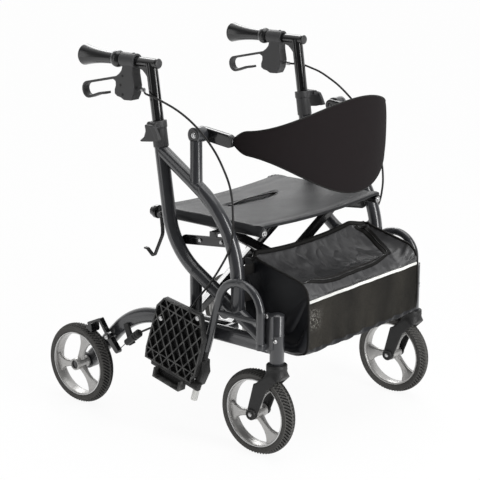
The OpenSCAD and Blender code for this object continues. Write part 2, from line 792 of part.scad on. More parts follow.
module brake_arm() {
    heel = [150, 157];
    bend = [205, 224];
    toe = [243, 207];
    x0 = brake_arm_x - 7;
    x1 = brake_arm_x + 7;
    axle = [rear_y, wheel_r];
    wire = unit(adjuster_rear - heel);
    color(GLOSS) difference() {
        union() {
            slab(x0, x1) {
                capsule(heel, brake_pivot, 7);
                capsule(brake_pivot, bend, 4);
                capsule(bend, toe, 4);
            }
            disc(x0, x1, brake_pivot, brake_pin_r + 5);
            slab(rear_wheel_x - 14, rear_wheel_x + 14)
                polygon([[222, 213], [240, 206], [241, 190], [226, 182], [220, 196]]);
            side(adjuster_x) translate(heel) rotate([0, 0, atan2(wire.y, wire.x)]) rotate([0, 90, 0])
                cylinder(h = norm(adjuster_rear - heel) + 6, r = 1.2);
            disc(x0, adjuster_x + 3, heel, 5);
        }
        disc(x0 - 1, x1 + 1, brake_pivot, brake_pin_r + run_fit);
        disc(-frame_x - 100, -frame_x + 100, axle, wheel_r + shoe_gap);
    }
}

// Wheels, drawn about their own axle at x = 0 with the outboard face towards -X
module tyre() {
    color(RUBBER) rotate([0, 90, 0]) rotate_extrude($fn = 96) intersection() {
        translate([rim_r + close_fit, -tyre_w / 2]) square([tyre_h - close_fit, tyre_w]);
        translate([wheel_r - tread_crown_r, 0]) circle(tread_crown_r);
    }
}

module rim(axle_r, hub_x0, hub_x1) {
    barrel_w = tyre_w - 8;
    color(RIM) rotate([90, 0, 90]) difference() {
        union() {
            translate([0, 0, -barrel_w / 2]) linear_extrude(barrel_w) ring(rim_r, rim_wall);
            translate([0, 0, hub_x0]) cylinder(h = hub_x1 - hub_x0, r = hub_r);
            for (k = [0:2]) rotate(spoke_turn + 120 * k)
                translate([0, 0, -barrel_w / 2 + 3]) linear_extrude(spoke_t) polygon([
                    [hub_r - 4, -spoke_in_w / 2], [rim_r / 2, -spoke_in_w / 2],
                    [rim_r - rim_wall + 1, -spoke_out_w / 2], [rim_r - rim_wall + 1, spoke_out_w / 2],
                    [rim_r / 2, spoke_in_w / 2], [hub_r - 4, spoke_in_w / 2]
                ]);
        }
        translate([0, 0, hub_x0 - 1]) cylinder(h = hub_x1 - hub_x0 + 2, r = axle_r + run_fit);
    }
}

spoke_turn = -15;
rear_hub_x0 = -14;
rear_hub_x1 = tyre_w / 2 - 1;

module at_rear_wheel() {
    translate([rear_wheel_x, rear_y, wheel_r]) children();
}

module rear_rim() {
    at_rear_wheel() rim(rear_axle_r, rear_hub_x0, rear_hub_x1);
}

module rear_tyre() {
    at_rear_wheel() tyre();
}

module rear_axle() {
    hub = [rear_y, wheel_r];
    color(STEEL) {
        disc(rear_wheel_x + rear_hub_x0 - 4, rail_x + rail_w / 2 + 3, hub, rear_axle_r);
        disc(rear_wheel_x + rear_hub_x0 - 7, rear_wheel_x + rear_hub_x0 - gap, hub, rear_axle_r + 4);
        disc(rear_wheel_x + rear_hub_x1 + gap, rail_x - rail_w / 2 - boss_out - 0.1, hub, rear_axle_r + 3);
    }
}

fork_x = tyre_w / 2 + 2;

module at_caster() {
    translate([-frame_x, caster_y, wheel_r]) children();
}

module caster_fork() {
    top = crown_top_z - wheel_r;
    leg = [
        [-caster_trail - crown_r - 2, top], [-caster_trail + crown_r + 2, top], [-8, top - 38],
        [14, 4], [-13.5, -5], [-caster_trail + 12, 62], [-caster_trail - crown_r - 2, top - 26]
    ];
    half_w = fork_x + fork_leg_t;
    // The crown's outline: straight for a while below the top, then an even flare
    bell = [for (s = [10:5:50]) [crown_r + pow(s - 10, 2) / 60, top - s]];
    color(RUBBER) at_caster() {
        difference() {
            union() {
                intersection() {
                    slab(-half_w, half_w) polygon(leg);
                    translate([0, -caster_trail, 0]) rotate_extrude() polygon(concat(
                        [[0, top + 1], [crown_r, top + 1]], bell,
                        [[120, top - 60], [120, -wheel_r], [0, -wheel_r]]
                    ));
                }
                disc(-half_w, half_w, [0, 0], 14);
            }
            disc(-fork_x, fork_x, [0, 0], wheel_r + 4);
            disc(-60, 60, [0, 0], caster_axle_r + close_fit);
        }
        translate([0, -caster_trail, top - 1]) cylinder(h = housing_h - 25, r = stem_r);
    }
}

module caster_rim() {
    at_caster() rim(caster_axle_r, -tyre_w / 2, tyre_w / 2);
}

module caster_tyre() {
    at_caster() tyre();
}

module caster_axle() {
    end = fork_x + fork_leg_t;
    color(STEEL) at_caster() {
        disc(-end - 2, end + 2, [0, 0], caster_axle_r);
        for (s = [-1, 1]) disc(s > 0 ? end : -end - 4, s > 0 ? end + 4 : -end, [0, 0], caster_axle_r + 2.5);
    }
}

// Footrests
module footrest_hanger() {
    color(PAINT) difference() {
        union() {
            side(hanger_x) rod(hanger_path, [0, arch_r, arch_r, 0], hanger_r);
            side(hanger_x) rod([[hanger_y, crossbar_z], leg_at(crossbar_z)], [0, 0], crossbar_r);
        }
        translate([hanger_x, hanger_y, hanger_foot_z - 1])
            cylinder(h = 64, r = hanger_pin_r + run_fit);
        side(hanger_x) rod([leg_at(leg_top_z + 60), leg_at(hanger_end_z - 20)], [0, 0], leg_r + gap);
    }
}

// The footplate's axes: local X runs rearward across the leg, local Y runs up along it
module at_plate() {
    side(0) translate(plate_hinge) rotate([0, 0, plate_lean]) children();
}

module footrest_leg() {
    block_x0 = plate_x + plate_t + gap;
    ear_start = barrel_start - gap - ear_len;
    color(STEEL) side(hanger_x) rod([leg_at(leg_top_z), leg_at(leg_end_z)], [0, 0], leg_r);
    color(GLOSS) at_plate() {
        translate([0, 0, block_x0]) linear_extrude(hanger_x - block_x0 + leg_r + 4) polygon(block_outline);
        translate([ear_start, 0, plate_x]) rotate([0, 90, 0]) cylinder(h = ear_len, r = barrel_r);
        translate([ear_start, -barrel_r, plate_x]) cube([ear_len, 2 * barrel_r, plate_t + 6]);
        translate([0, 0, plate_x]) rotate([0, 90, 0])
            cylinder(h = barrel_start + barrel_len + 4, r = plate_pin_r);
    }
}

module plate_shape() {
    polygon(plate_outline);
}

// Diagonal lattice, clipped to the plate
module lattice() {
    pitch = 40;
    intersection() {
        plate_shape();
        union() {
            for (k = [-3:5]) for (s = [-1, 1])
                translate([75 + s * 4, k * pitch + 20]) rotate(s * 58)
                    square([400, rib_t], center = true);
            for (v = [30, plate_len - 30]) translate([0, v]) square([200, rib_t]);
        }
    }
}

module plate_rim() {
    inset = 4;
    shrink = [1 - 2 * inset / plate_wide, 1 - 2 * inset / plate_len];
    difference() {
        plate_shape();
        polygon([for (p = plate_outline) let (d = p - plate_mid) plate_mid + [d.x * shrink.x, d.y * shrink.y]]);
    }
}

// A trough below the hinge, open towards the outside and the top
module heel_channel() {
    difference() {
        translate([heel_start, -heel_depth, plate_x - heel_out])
            cube([heel_len, heel_depth, heel_out + heel_wall / 2]);
        translate([heel_start + heel_wall, heel_wall - heel_depth, plate_x - heel_out - 1])
            cube([heel_len - 2 * heel_wall, heel_depth, heel_out + 1 - heel_wall / 2]);
    }
}

module footplate() {
    color(RUBBER) at_plate() difference() {
        union() {
            translate([0, 0, plate_x]) linear_extrude(plate_t) plate_shape();
            translate([0, 0, plate_x - rib_h]) linear_extrude(rib_h) {
                lattice();
                plate_rim();
            }
            translate([barrel_start, 0, plate_x]) rotate([0, 90, 0]) cylinder(h = barrel_len, r = barrel_r);
            translate([barrel_start, 0, plate_x - barrel_r + 1])
                cube([barrel_len, 8, 2 * barrel_r - 2]);
            heel_channel();
        }
        translate([0, 0, plate_x]) rotate([0, 90, 0]) cylinder(h = 200, r = plate_pin_r + run_fit);
    }
}

// Seat, brace and backrest
module backrest_arm() {
    color(GLOSS) difference() {
        slab(arm_x0, arm_x1) capsule([post_y, backrest_z], arm_tip, arm_r);
        disc(arm_x0 - 1, arm_x1 + 1, [post_y, backrest_z], arm_pin_r + run_fit);
    }
}

// Seat rail: a tube with a closed front end, a stepped knob at its rear and, on the right, the hook's stud
module seat_rail(with_stud) {
    color(GLOSS) {
        difference() {
            union() {
                along_y(seat_x, seat_z, seat_front_y - 8, seat_rear_y + 8, seat_rail_r);
                along_y(seat_x, seat_z, seat_rear_y, seat_rear_y + 9, 16);
                along_y(seat_x, seat_z, seat_rear_y + 8, seat_rear_y + 20, 11);
            }
            translate([seat_x, hook_y - 6, seat_z]) rotate([90, 0, 0])
                cylinder(h = hook_y - 6 - seat_front_y, r = seat_rail_r - tube_wall);
            translate([seat_x, seat_front_y - 12, seat_z]) rotate([-90, 0, 0]) cylinder(h = 13, r = 3);
        }
        if (with_stud) {
            disc(hook_x - hook_w - 1, seat_x, [hook_y, seat_z], hook_stud_r);
            disc(hook_x - hook_w - gap - 2.5, hook_x - hook_w - gap, [hook_y, seat_z], hook_stud_r + 2.5);
        }
    }
}

// One brace bar, drawn along its own length from the lower pivot at (x0, brace_z)
module brace_bar(x0, rise_angle, y, thickness) {
    translate([x0, y, brace_z]) rotate([0, -rise_angle, 0])
        translate([0, -thickness / 2, -brace_h / 2]) cube([brace_len, thickness, brace_h]);
}

module brace_sleeve(x0) {
    along_y(x0, brace_z, sleeve_y0, sleeve_y1, brace_sleeve_r);
}

// Bores of the lower rod and the centre bolt, and the seat rail's space at the top
module brace_cuts(x0) {
    along_y(x0, brace_z, sleeve_y0 - 1, sleeve_y1 + 1, brace_rod_r + run_fit);
    along_y(0, brace_centre_z, sleeve_y0 - 1, sleeve_y1 + 1, brace_bolt_r + run_fit);
    along_y(-x0, seat_z, seat_front_y, seat_rear_y, seat_rail_r + close_fit);
}

module right_brace() {
    color(GLOSS) difference() {
        union() {
            for (y = [brace_front_y, brace_rear_y]) brace_bar(seat_x, brace_angle, y, brace_t);
            brace_sleeve(seat_x);
        }
        brace_cuts(seat_x);
    }
}

module left_brace() {
    color(GLOSS) difference() {
        union() {
            brace_bar(-seat_x, 180 - brace_angle, brace_mid_y, brace_t + 6);
            brace_sleeve(-seat_x);
        }
        brace_cuts(-seat_x);
    }
}

module cross_pivot_bolt() {
    front_in = brace_front_y + brace_t / 2 + gap;
    rear_in = brace_rear_y - brace_t / 2 - gap;
    mid_half = brace_t / 2 + 3 + gap;
    bolt_end = brace_t / 2 + 5;
    color(STEEL) {
        along_y(0, brace_centre_z, brace_front_y - bolt_end, brace_rear_y + bolt_end, brace_bolt_r);
        for (end = [[front_in, brace_mid_y - mid_half], [brace_mid_y + mid_half, rear_in]])
            along_y(0, brace_centre_z, end[0], end[1], brace_bolt_r + 3);
        for (y = [brace_front_y - brace_t / 2 - gap - 4, brace_rear_y + brace_t / 2 + gap])
            along_y(0, brace_centre_z, y, y + 4, brace_bolt_r + 4);
    }
}

// The hook that holds the folded frame shut, hanging on a stud of the right seat rail
hook_y = seat_rear_y - 22;
hook_x = seat_x - seat_rail_r - 1;
hook_w = 10;
hook_t = 4;
hook_stud_r = 4;

module fold_hook() {
    strip = [
        [hook_y, seat_z], [hook_y - 5, seat_z - 45], [hook_y + 25, seat_z - 107], [hook_y + 45, seat_z - 90],
        [hook_y + 54, seat_z - 89]
    ];
    color(GLOSS) difference() {
        union() {
            side(hook_x - hook_w / 2) along(strip, [0, 40, 6, 5, 0]) {
                square([hook_t, hook_w], center = true);
                square([hook_t - 2 * seam, hook_w - 2 * seam], center = true);
            }
            disc(hook_x - hook_w, hook_x, [hook_y, seat_z], 8);
        }
        disc(hook_x - hook_w - 1, hook_x + 1, [hook_y, seat_z], hook_stud_r + run_fit);
    }
}

// A closed sheet between two grids of points, upper and lower, each nu by nv
module sheet(upper, lower, nu, nv) {
    n = nu * nv;
    cells = [
        for (i = [0:nu - 2]) for (j = [0:nv - 2])
            [i * nv + j, (i + 1) * nv + j, (i + 1) * nv + j + 1, i * nv + j + 1]
    ];
    rim_points = concat(
        [for (i = [0:nu - 2]) i * nv], [for (j = [0:nv - 2]) (nu - 1) * nv + j],
        [for (i = [nu - 1:-1:1]) i * nv + nv - 1], [for (j = [nv - 1:-1:1]) j]
    );
    m = len(rim_points);
    polyhedron(concat(upper, lower), concat(
        [for (c = cells) [c[0], c[2], c[1]]], [for (c = cells) [c[0], c[3], c[2]]],
        [for (c = cells) [n + c[0], n + c[1], n + c[2]]], [for (c = cells) [n + c[0], n + c[2], n + c[3]]],
        [for (k = [0:m - 1]) [rim_points[k], rim_points[(k + 1) % m], n + rim_points[(k + 1) % m]]],
        [for (k = [0:m - 1]) [rim_points[k], n + rim_points[(k + 1) % m], n + rim_points[k]]]
    ));
}

// Height of the seat cloth's underside: flat over the rails, sagging between them
function sling_z(u, v) =
    let (across = max(0, 1 - pow(u * sling_x / (abs(seat_x) - 2 * seat_rail_r), 2)))
    seat_z + seat_rail_r + gap - sling_sag * across * (0.75 + 0.25 * sin(180 * v));

module seat_sling() {
    us = [for (i = [0:sling_nx - 1]) 2 * i / (sling_nx - 1) - 1];
    vs = [for (j = [0:sling_ny - 1]) j / (sling_ny - 1)];
    lower = [for (u = us) for (v = vs)
        [u * sling_x, sling_y0 + (sling_y1 - sling_y0) * v, sling_z(u, v)]];
    upper = [for (u = us) for (v = vs) [u * sling_x, sling_y0 + (sling_y1 - sling_y0) * v,
        sling_z(u, v) + sling_t * (0.55 + 0.45 * sqrt(sin(180 * (0.04 + 0.92 * v))))]];
    color(CLOTH) sheet(upper, lower, sling_nx, sling_ny);
}

// The backrest band: a padded strip, bent to a bow in plan, tall in its middle
function band_point(a, w, depth) =
    let (
        c = max(cos(a), 0),
        swell = pow(c, 2.5),
        neck = band_end_half_h + (band_neck_h - band_end_half_h) * sin(90 * min(1, c / 0.2)),
        half_h = neck + ((w > 0 ? band_rise : band_drop) - band_neck_h) * swell,
        pad = (band_end_t + (band_t - band_end_t) * swell) * (0.35 + 0.65 * sqrt(max(0, 1 - w * w))),
        normal = unit([sin(a) / band_x, -cos(a) / band_bulge])
    )
    [
        band_x * sin(a) + depth * pad / 2 * normal.x,
        band_end_y - band_bulge * cos(a) + depth * pad / 2 * normal.y,
        arm_tip.y + half_h * w
    ];

module backrest_pad() {
    angles = [for (i = [0:band_n - 1]) let (t = 2 * i / (band_n - 1) - 1) 90 * (1.3 * t - 0.3 * t * t * t)];
    ws = [for (j = [0:band_m]) 2 * j / band_m - 1];
    front = [for (a = angles) for (w = ws) band_point(a, w, 1)];
    back = [for (a = angles) for (w = ws) band_point(a, w, -1)];
    color(BAND) sheet(back, front, band_n, band_m + 1);
}

module storage_bag() {
    strap_z = [340, 402];
    strap_x = frame_x - tube_r - gap - bag_x;
    color(CLOTH) {
        difference() {
            slab(-bag_x, bag_x) polygon(bag_outline);
            slab(-bag_x + bag_wall, bag_x - bag_wall) polygon(bag_inner);
        }
        for (z = strap_z) for (s = [-1, 1])
            translate([s > 0 ? bag_x - 1 : -bag_x - strap_x, front_y - 6, z])
                cube([strap_x + 1, 3, 24]);
    }
}

rear_tube();  // right_rear_tube
front_tube();  // right_front_tube
bottom_rail();  // right_bottom_rail
caster_housing();  // right_caster_housing
seat_rest();  // right_seat_rest
height_clamp();  // right_height_clamp
clamp_lever();  // right_clamp_lever
handle_tube();  // right_handle_tube
hand_grip();  // right_hand_grip
brake_housing();  // right_brake_housing
brake_lever();  // right_brake_lever
brake_cable();  // right_brake_cable
cable_adjuster();  // right_cable_adjuster
brake_arm();  // right_brake_arm
rear_rim();  // right_rear_rim
rear_tyre();  // right_rear_tyre
rear_axle();  // right_rear_axle
caster_fork();  // right_caster_fork
caster_rim();  // right_caster_rim
caster_tyre();  // right_caster_tyre
caster_axle();  // right_caster_axle
footrest_hanger();  // right_footrest_hanger
footrest_leg();  // right_footrest_leg
footplate();  // right_footplate
backrest_arm();  // right_backrest_arm
seat_rail(true);  // right_seat_rail
right_brace();  // right_cross_arm
left() rear_tube();  // left_rear_tube
left() front_tube();  // left_front_tube
left() bottom_rail();  // left_bottom_rail
left() caster_housing();  // left_caster_housing
left() seat_rest();  // left_seat_rest
left() height_clamp();  // left_height_clamp
left() clamp_lever();  // left_clamp_lever
left() handle_tube();  // left_handle_tube
left() hand_grip();  // left_hand_grip
left() brake_housing();  // left_brake_housing
left() brake_lever();  // left_brake_lever
left() brake_cable();  // left_brake_cable
left() cable_adjuster();  // left_cable_adjuster
left() brake_arm();  // left_brake_arm
left() rear_rim();  // left_rear_rim
left() rear_tyre();  // left_rear_tyre
left() rear_axle();  // left_rear_axle
left() caster_fork();  // left_caster_fork
left() caster_rim();  // left_caster_rim
left() caster_tyre();  // left_caster_tyre
left() caster_axle();  // left_caster_axle
left() footrest_hanger();  // left_footrest_hanger
left() footrest_leg();  // left_footrest_leg
left() footplate();  // left_footplate
left() backrest_arm();  // left_backrest_arm
left() seat_rail(false);  // left_seat_rail
left_brace();  // left_cross_arm
cross_pivot_bolt();
fold_hook();
seat_sling();
backrest_pad();
storage_bag();
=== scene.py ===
"""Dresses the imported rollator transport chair: finishes, soft goods, wheels, trim, stage and camera.

Lengths in the code are millimetres and become Blender's metres when a mesh is made. Side pieces are drawn
for the right side, where x is negative, and mirrored for the left. The walking direction is -Y.
"""

import math

import bmesh
import bpy
import numpy as np
from bpy.props import FloatProperty, FloatVectorProperty, IntProperty, PointerProperty
from bpy.types import Operator, Panel, PropertyGroup
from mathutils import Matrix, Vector, noise


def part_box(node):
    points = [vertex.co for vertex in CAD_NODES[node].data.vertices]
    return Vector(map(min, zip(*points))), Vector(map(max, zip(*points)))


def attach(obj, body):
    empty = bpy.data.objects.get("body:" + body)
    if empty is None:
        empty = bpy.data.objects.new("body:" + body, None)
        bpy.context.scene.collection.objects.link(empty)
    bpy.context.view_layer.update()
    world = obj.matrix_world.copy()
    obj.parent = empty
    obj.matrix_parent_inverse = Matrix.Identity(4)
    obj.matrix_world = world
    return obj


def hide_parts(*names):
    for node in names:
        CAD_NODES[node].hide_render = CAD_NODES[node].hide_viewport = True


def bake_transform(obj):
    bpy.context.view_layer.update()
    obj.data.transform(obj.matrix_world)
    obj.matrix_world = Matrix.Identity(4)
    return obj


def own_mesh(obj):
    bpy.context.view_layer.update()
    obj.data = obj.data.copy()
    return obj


bl_info = {
    "name": "Rollator Transport Chair",
    "version": (1, 0, 0),
    "blender": (4, 5, 0),
    "location": "View3D > Sidebar > Rollator",
    "description": "Finishes, soft goods, wheels and trim of a folding rollator transport chair",
    "category": "Add Mesh",
}

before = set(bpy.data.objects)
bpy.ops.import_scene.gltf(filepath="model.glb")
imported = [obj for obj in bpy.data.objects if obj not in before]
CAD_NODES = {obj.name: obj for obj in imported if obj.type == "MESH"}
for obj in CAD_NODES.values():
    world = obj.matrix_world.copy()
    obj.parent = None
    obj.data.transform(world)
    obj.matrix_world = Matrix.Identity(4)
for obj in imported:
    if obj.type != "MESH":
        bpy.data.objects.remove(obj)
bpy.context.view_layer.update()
MM = 0.001
SIDES = (("right", 1.0), ("left", -1.0))
# Places that several pieces share: the side frames, the handlebars, the backrest's knuckles and the casters
FRAME_X = 266
HANDLE_Z = 860
KNUCKLE_Y, KNUCKLE_Z = -90, 711
CASTER_PIVOT_Y = -325
CASTER_Y, CASTER_Z = -272.5, 100


def tone(code):
    """Linear colour of a hex code."""
    parts = [int(code[i:i + 2], 16) / 255 for i in (1, 3, 5)]
    return tuple(p / 12.92 if p <= 0.04045 else ((p + 0.055) / 1.055) ** 2.4 for p in parts)


def colour(name, description, code):
    """A colour that the user can change."""
    return FloatVectorProperty(
        name=name, description=description, default=tone(code), size=3, subtype="COLOR", min=0, max=1
    )


def length(name, description, millimetres):
    """A length that the user can change."""
    return FloatProperty(name=name, description=description, default=millimetres * MM, min=0, unit="LENGTH")


class ChairColours(PropertyGroup):
    """Colours of the chair's finishes."""

    paint: colour("Frame paint", "Satin graphite powder coat of the side frames", "#2b2c2f")
    gloss: colour("Gloss black", "Black enamel of the handles, brace and small brackets", "#0e0e0f")
    grey_plastic: colour("Grey plastic", "Grained plastic of the brake housings and clamps", "#3c3c3d")
    black_plastic: colour("Black plastic", "Moulded plastic of the forks and footplates", "#242424")
    grip: colour("Grip rubber", "Rubber of the hand grips", "#1a1a1b")
    tyre: colour("Tyre rubber", "Rubber of the tyres", "#4c4b49")
    rim: colour("Rim", "Silver paint of the rims", "#b0afad")
    steel: colour("Steel", "Bolts, rivets and axles", "#d0d0d0")
    cable: colour("Cable jacket", "Jacket of the brake cables", "#1c1c1c")
    seat: colour("Seat cloth", "Coated cloth of the seat", "#1d1e20")
    band: colour("Backrest cloth", "Stretch cloth of the backrest band", "#1a1617")
    nylon: colour("Bag nylon", "Nylon of the bag's lid and front", "#3b3b3c")
    side_nylon: colour("Bag sides", "Darker nylon of the bag's sides", "#16171a")
    net: colour("Bag net", "Fine net of the bag's front", "#262420")
    binding: colour("Binding", "Tape and piping of the bag", "#151413")
    stripe: colour("Stripe", "Reflective tape across the bag", "#dcdcd8")
    floor: colour("Floor", "Pale studio floor", "#f4f4f4")


class ChairSizes(PropertyGroup):
    """Sizes of the pieces that are modelled here."""

    edge: length("Edge", "Rounding of the rigid pieces' edges", 0.9)
    tread_depth: length("Tread depth", "Depth of the tyres' grooves", 3.2)
    tread_grooves: IntProperty(name="Tread grooves", description="Grooves round a tyre", default=74, min=12)
    cable_radius: length("Cable radius", "Outer radius of the brake cables", 2.5)
    seat_thickness: length("Seat thickness", "Thickness of the seat's padded cloth", 6)
    seat_sag: length("Seat sag", "Sag of the seat between its rails", 10)
    band_bulge: length("Band bulge", "How far the backrest band bows out", 169)
    band_padding: length("Band padding", "Thickness of the backrest band's padding", 16)
    lid_sag: length("Lid sag", "How far the bag's lid sinks", 26)
    piping: length("Piping", "Radius of the bag's piping", 2.8)


class ChairStage(PropertyGroup):
    """Camera and light."""

    lens: FloatProperty(name="Lens", description="Focal length on a 36 mm sensor", default=117.2, min=1)
    azimuth: FloatProperty(
        name="Azimuth", description="Camera's turn round the chair", default=math.radians(-49.8),
        subtype="ANGLE",
    )
    elevation: FloatProperty(
        name="Elevation", description="Camera's height angle", default=math.radians(14.9), subtype="ANGLE"
    )
    place: FloatVectorProperty(
        name="Place", description="Camera's place", default=(-2.8226, -2.3787, 1.3813),
        subtype="TRANSLATION",
    )


def colours():
    return bpy.context.scene.chair_colours


def size(name):
    """A size in millimetres."""
    return getattr(bpy.context.scene.chair_sizes, name) / MM


# Finishes


class Signal:
    """A shader socket that takes part in Python arithmetic."""

    def __init__(self, owner, socket):
        self.owner = owner
        self.socket = socket

    def math(self, operation, first, second):
        return self.owner.signal("ShaderNodeMath", 0, {"operation": operation}, {0: first, 1: second})

    def __add__(self, other):
        return self.math("ADD", self, other)

    __radd__ = __add__

    def __sub__(self, other):
        return self.math("SUBTRACT", self, other)

    def __rsub__(self, other):
        return self.math("SUBTRACT", other, self)

    def __mul__(self, other):
        return self.math("MULTIPLY", self, other)

    __rmul__ = __mul__

    def __pow__(self, other):
        return self.math("POWER", self, other)

    def larger(self, other):
        return self.math("MAXIMUM", self, other)

    def step(self, low, high):
        """Smooth step from 0 at low to 1 at high."""
        return self.owner.signal(
            "ShaderNodeMapRange", "Result", {"interpolation_type": "SMOOTHSTEP"},
            {"Value": self, "From Min": low, "From Max": high},
        )


class Nodes:
    """A node tree whose nodes are made and joined by their values."""

    def __init__(self, tree):
        self.tree = tree

    def join(self, socket, value):
        if isinstance(value, Signal):
            self.tree.links.new(value.socket, socket)
        elif value is not None:
            socket.default_value = value

    def signal(self, kind, output=0, settings=None, inputs=None):
        """An output of a new node."""
        made = self.tree.nodes.new(kind)
        for name, value in (settings or {}).items():
            setattr(made, name, value)
        for name, value in (inputs or {}).items():
            self.join(made.inputs[name], value)
        return Signal(self, made.outputs[output])

    def ray(self, kind):
        """Whether the light's path is of a kind, such as Camera or Glossy."""
        return self.signal("ShaderNodeLightPath", f"Is {kind} Ray")


class Finish(Nodes):
    """A procedural material: one Principled shader and the nodes that vary it."""

    def __init__(self, name, base, roughness, **shader):
        self.material = bpy.data.materials.new(f"{name}_look")
        self.material.use_nodes = True
        self.material.diffuse_color = (*base, 1)
        super().__init__(self.material.node_tree)
        self.shader = self.tree.nodes["Principled BSDF"]
        self.base = tuple(base)
        self.feed("Base Color", (*base, 1))
        self.feed("Roughness", roughness)
        for socket, value in shader.items():
            self.feed(socket.replace("_", " ").title().replace("Ior", "IOR"), value)

    def feed(self, socket, value):
        self.join(self.shader.inputs[socket], value)

    def place(self, stretch=None):
        """Coordinates in the chair's frame, in metres."""
        coords = self.signal("ShaderNodeTexCoord", "Object")
        if stretch is None:
            return coords
        return self.signal("ShaderNodeMapping", 0, None, {"Vector": coords, "Scale": stretch})

    def along(self, axis):
        return self.signal("ShaderNodeSeparateXYZ", axis, None, {0: self.place()})

    def noise(self, scale, detail=2.0, stretch=None):
        inputs = {"Vector": self.place(stretch), "Scale": scale, "Detail": detail}
        return self.signal("ShaderNodeTexNoise", 0, None, inputs)

    def cells(self, pitch):
        """Distance to the nearest of scattered points, about one in each pitch."""
        inputs = {"Vector": self.place(), "Scale": 1 / (pitch * MM)}
        return self.signal("ShaderNodeTexVoronoi", 0, None, inputs)

    def threads(self, axis, pitch):
        """Threads that repeat along an axis."""
        scale = math.tau / (20 * pitch * MM)
        inputs = {"Vector": self.place(), "Scale": scale, "Distortion": 0.4, "Detail": 1.0}
        return self.signal("ShaderNodeTexWave", "Fac", {"bands_direction": axis}, inputs)

    def mix(self, factor, first, second):
        first, second = (value if isinstance(value, Signal) else (*value, 1) for value in (first, second))
        return self.signal("ShaderNodeMix", 2, {"data_type": "RGBA"}, {0: factor, 6: first, 7: second})

    def shade(self, factor, low, high):
        """Base colour between two brightnesses."""
        first, second = (tuple(c * share for c in self.base) for share in (low, high))
        return self.mix(factor, first, second)

    def bump(self, height, strength, depth):
        """Adds relief, on top of any that the finish has."""
        inputs = {"Height": height, "Strength": strength, "Distance": depth * MM}
        for link in self.shader.inputs["Normal"].links:
            inputs["Normal"] = Signal(self, link.from_socket)
        self.feed("Normal", self.signal("ShaderNodeBump", 0, None, inputs))


def frame_paint():
    made = Finish("frame_paint", colours().paint, 0.3, coat_weight=0.8, coat_roughness=0.13)
    cloud = made.noise(7, 3)
    grain = made.noise(1900, 1)
    made.feed("Base Color", made.shade(cloud.step(0.3, 0.7) * 0.7 + grain * 0.3, 0.85, 1.15))
    made.feed("Roughness", 0.27 + 0.08 * cloud + 0.05 * grain)
    made.bump(grain, 0.06, 0.2)
    return made.material


def black_gloss():
    made = Finish("black_gloss", colours().gloss, 0.16, coat_weight=0.45, coat_roughness=0.06)
    cloud = made.noise(11, 4)
    made.feed("Base Color", made.shade(cloud, 0.8, 1.25))
    made.feed("Roughness", 0.1 + 0.14 * cloud)
    made.bump(made.noise(160, 2), 0.04, 0.3)
    return made.material


def moulded(name, base, roughness, grain_size, depth, **shader):
    """Moulded plastic or rubber with a fine grain."""
    made = Finish(name, base, roughness, **{"specular_ior_level": 0.32, **shader})
    grain = made.noise(1000 / grain_size, 3)
    cloud = made.noise(14, 3)
    made.feed("Base Color", made.shade(cloud * 0.6 + grain * 0.4, 0.78, 1.22))
    made.feed("Roughness", roughness - 0.1 + 0.2 * grain)
    made.bump(grain, 0.35, depth)
    return made


def footplate_plastic():
    """Black plastic with a painted highlight: the ribs' outer faces are paler."""
    made = moulded("footplate_plastic", colours().black_plastic, 0.5, 1.4, 0.2)
    reach = made.along("X")
    out = (reach * reach) ** 0.5
    # Painted highlight: the ribs' outer faces are mixed towards a pale grey in patches.
    rib_highlight = out.step(0.3285, 0.3296) * made.noise(60, 3).step(0.32, 0.6)
    made.feed("Base Color", made.mix(rib_highlight * 0.4, made.base, tone("#6a6a68")))
    return made.material


def rim_paint():
    made = Finish("rim_paint", colours().rim, 0.34, metallic=0.55, coat_weight=0.2, coat_roughness=0.2)
    cloud = made.noise(16, 3)
    flake = made.noise(2400, 1)
    made.feed("Base Color", made.shade(cloud * 0.5 + flake * 0.5, 0.8, 1.2))
    made.feed("Roughness", 0.26 + 0.16 * cloud)
    made.bump(flake, 0.06, 0.2)
    return made.material


def bright_steel():
    made = Finish("bright_steel", colours().steel, 0.24, metallic=1.0)
    scratch = made.noise(900, 2, (1.0, 1.0, 0.12))
    made.feed("Base Color", made.shade(scratch, 0.85, 1.05))
    made.feed("Roughness", 0.16 + 0.2 * scratch)
    return made.material


def woven(name, base, pitch, roughness, depth, **shader):
    """Woven cloth whose threads cross at right angles."""
    made = Finish(name, base, roughness, **{"specular_ior_level": 0.22, **shader})
    crossing = made.threads("X", pitch).larger(made.threads("Y", pitch))
    weave = crossing * 0.6 + made.threads("Z", pitch) * 0.4
    cloud = made.noise(13, 4)
    made.feed("Base Color", made.shade(weave * 0.5 + cloud * 0.5, 0.72, 1.25))
    made.feed("Roughness", roughness - 0.08 + 0.16 * cloud)
    made.bump(weave * 0.7 + made.noise(300, 2) * 0.5, 0.4, depth)
    return made


def bag_nylon():
    """Shiny nylon with sharp creases."""
    made = woven("bag_nylon", colours().nylon, 1.1, 0.36, 0.2, specular_ior_level=0.6)
    swell = made.noise(15, 2, (1.0, 0.55, 0.8)) - 0.5
    made.bump((swell * swell) ** 0.5, 0.9, 26)
    return made.material


def bag_net():
    """Fine net: dark holes between pale threads, and painted light that shows through it at the near
    corner.
    """
    made = Finish("bag_net", colours().net, 0.75, specular_ior_level=0.15)
    hole = made.cells(2.4).step(0.5, 0.25)
    cloud = made.noise(9, 4, (1.6, 1.0, 0.7)).step(0.3, 0.72)
    across, up = made.along("X"), made.along("Z")
    corner = across.step(-0.15, -0.2) * up.step(0.285, 0.315) * up.step(0.352, 0.33)
    # Painted light: pale specks at the near corner stand for light seen through the net.
    speck = corner * made.noise(420, 2).step(0.56, 0.64)
    threads = made.mix(hole * 0.75, made.shade(cloud, 0.6, 1.4), tone("#0c0b0a"))
    made.feed("Base Color", made.mix(speck * 0.8, threads, tone("#a8a6a0")))
    made.bump(1 - hole, 0.5, 0.5)
    return made.material


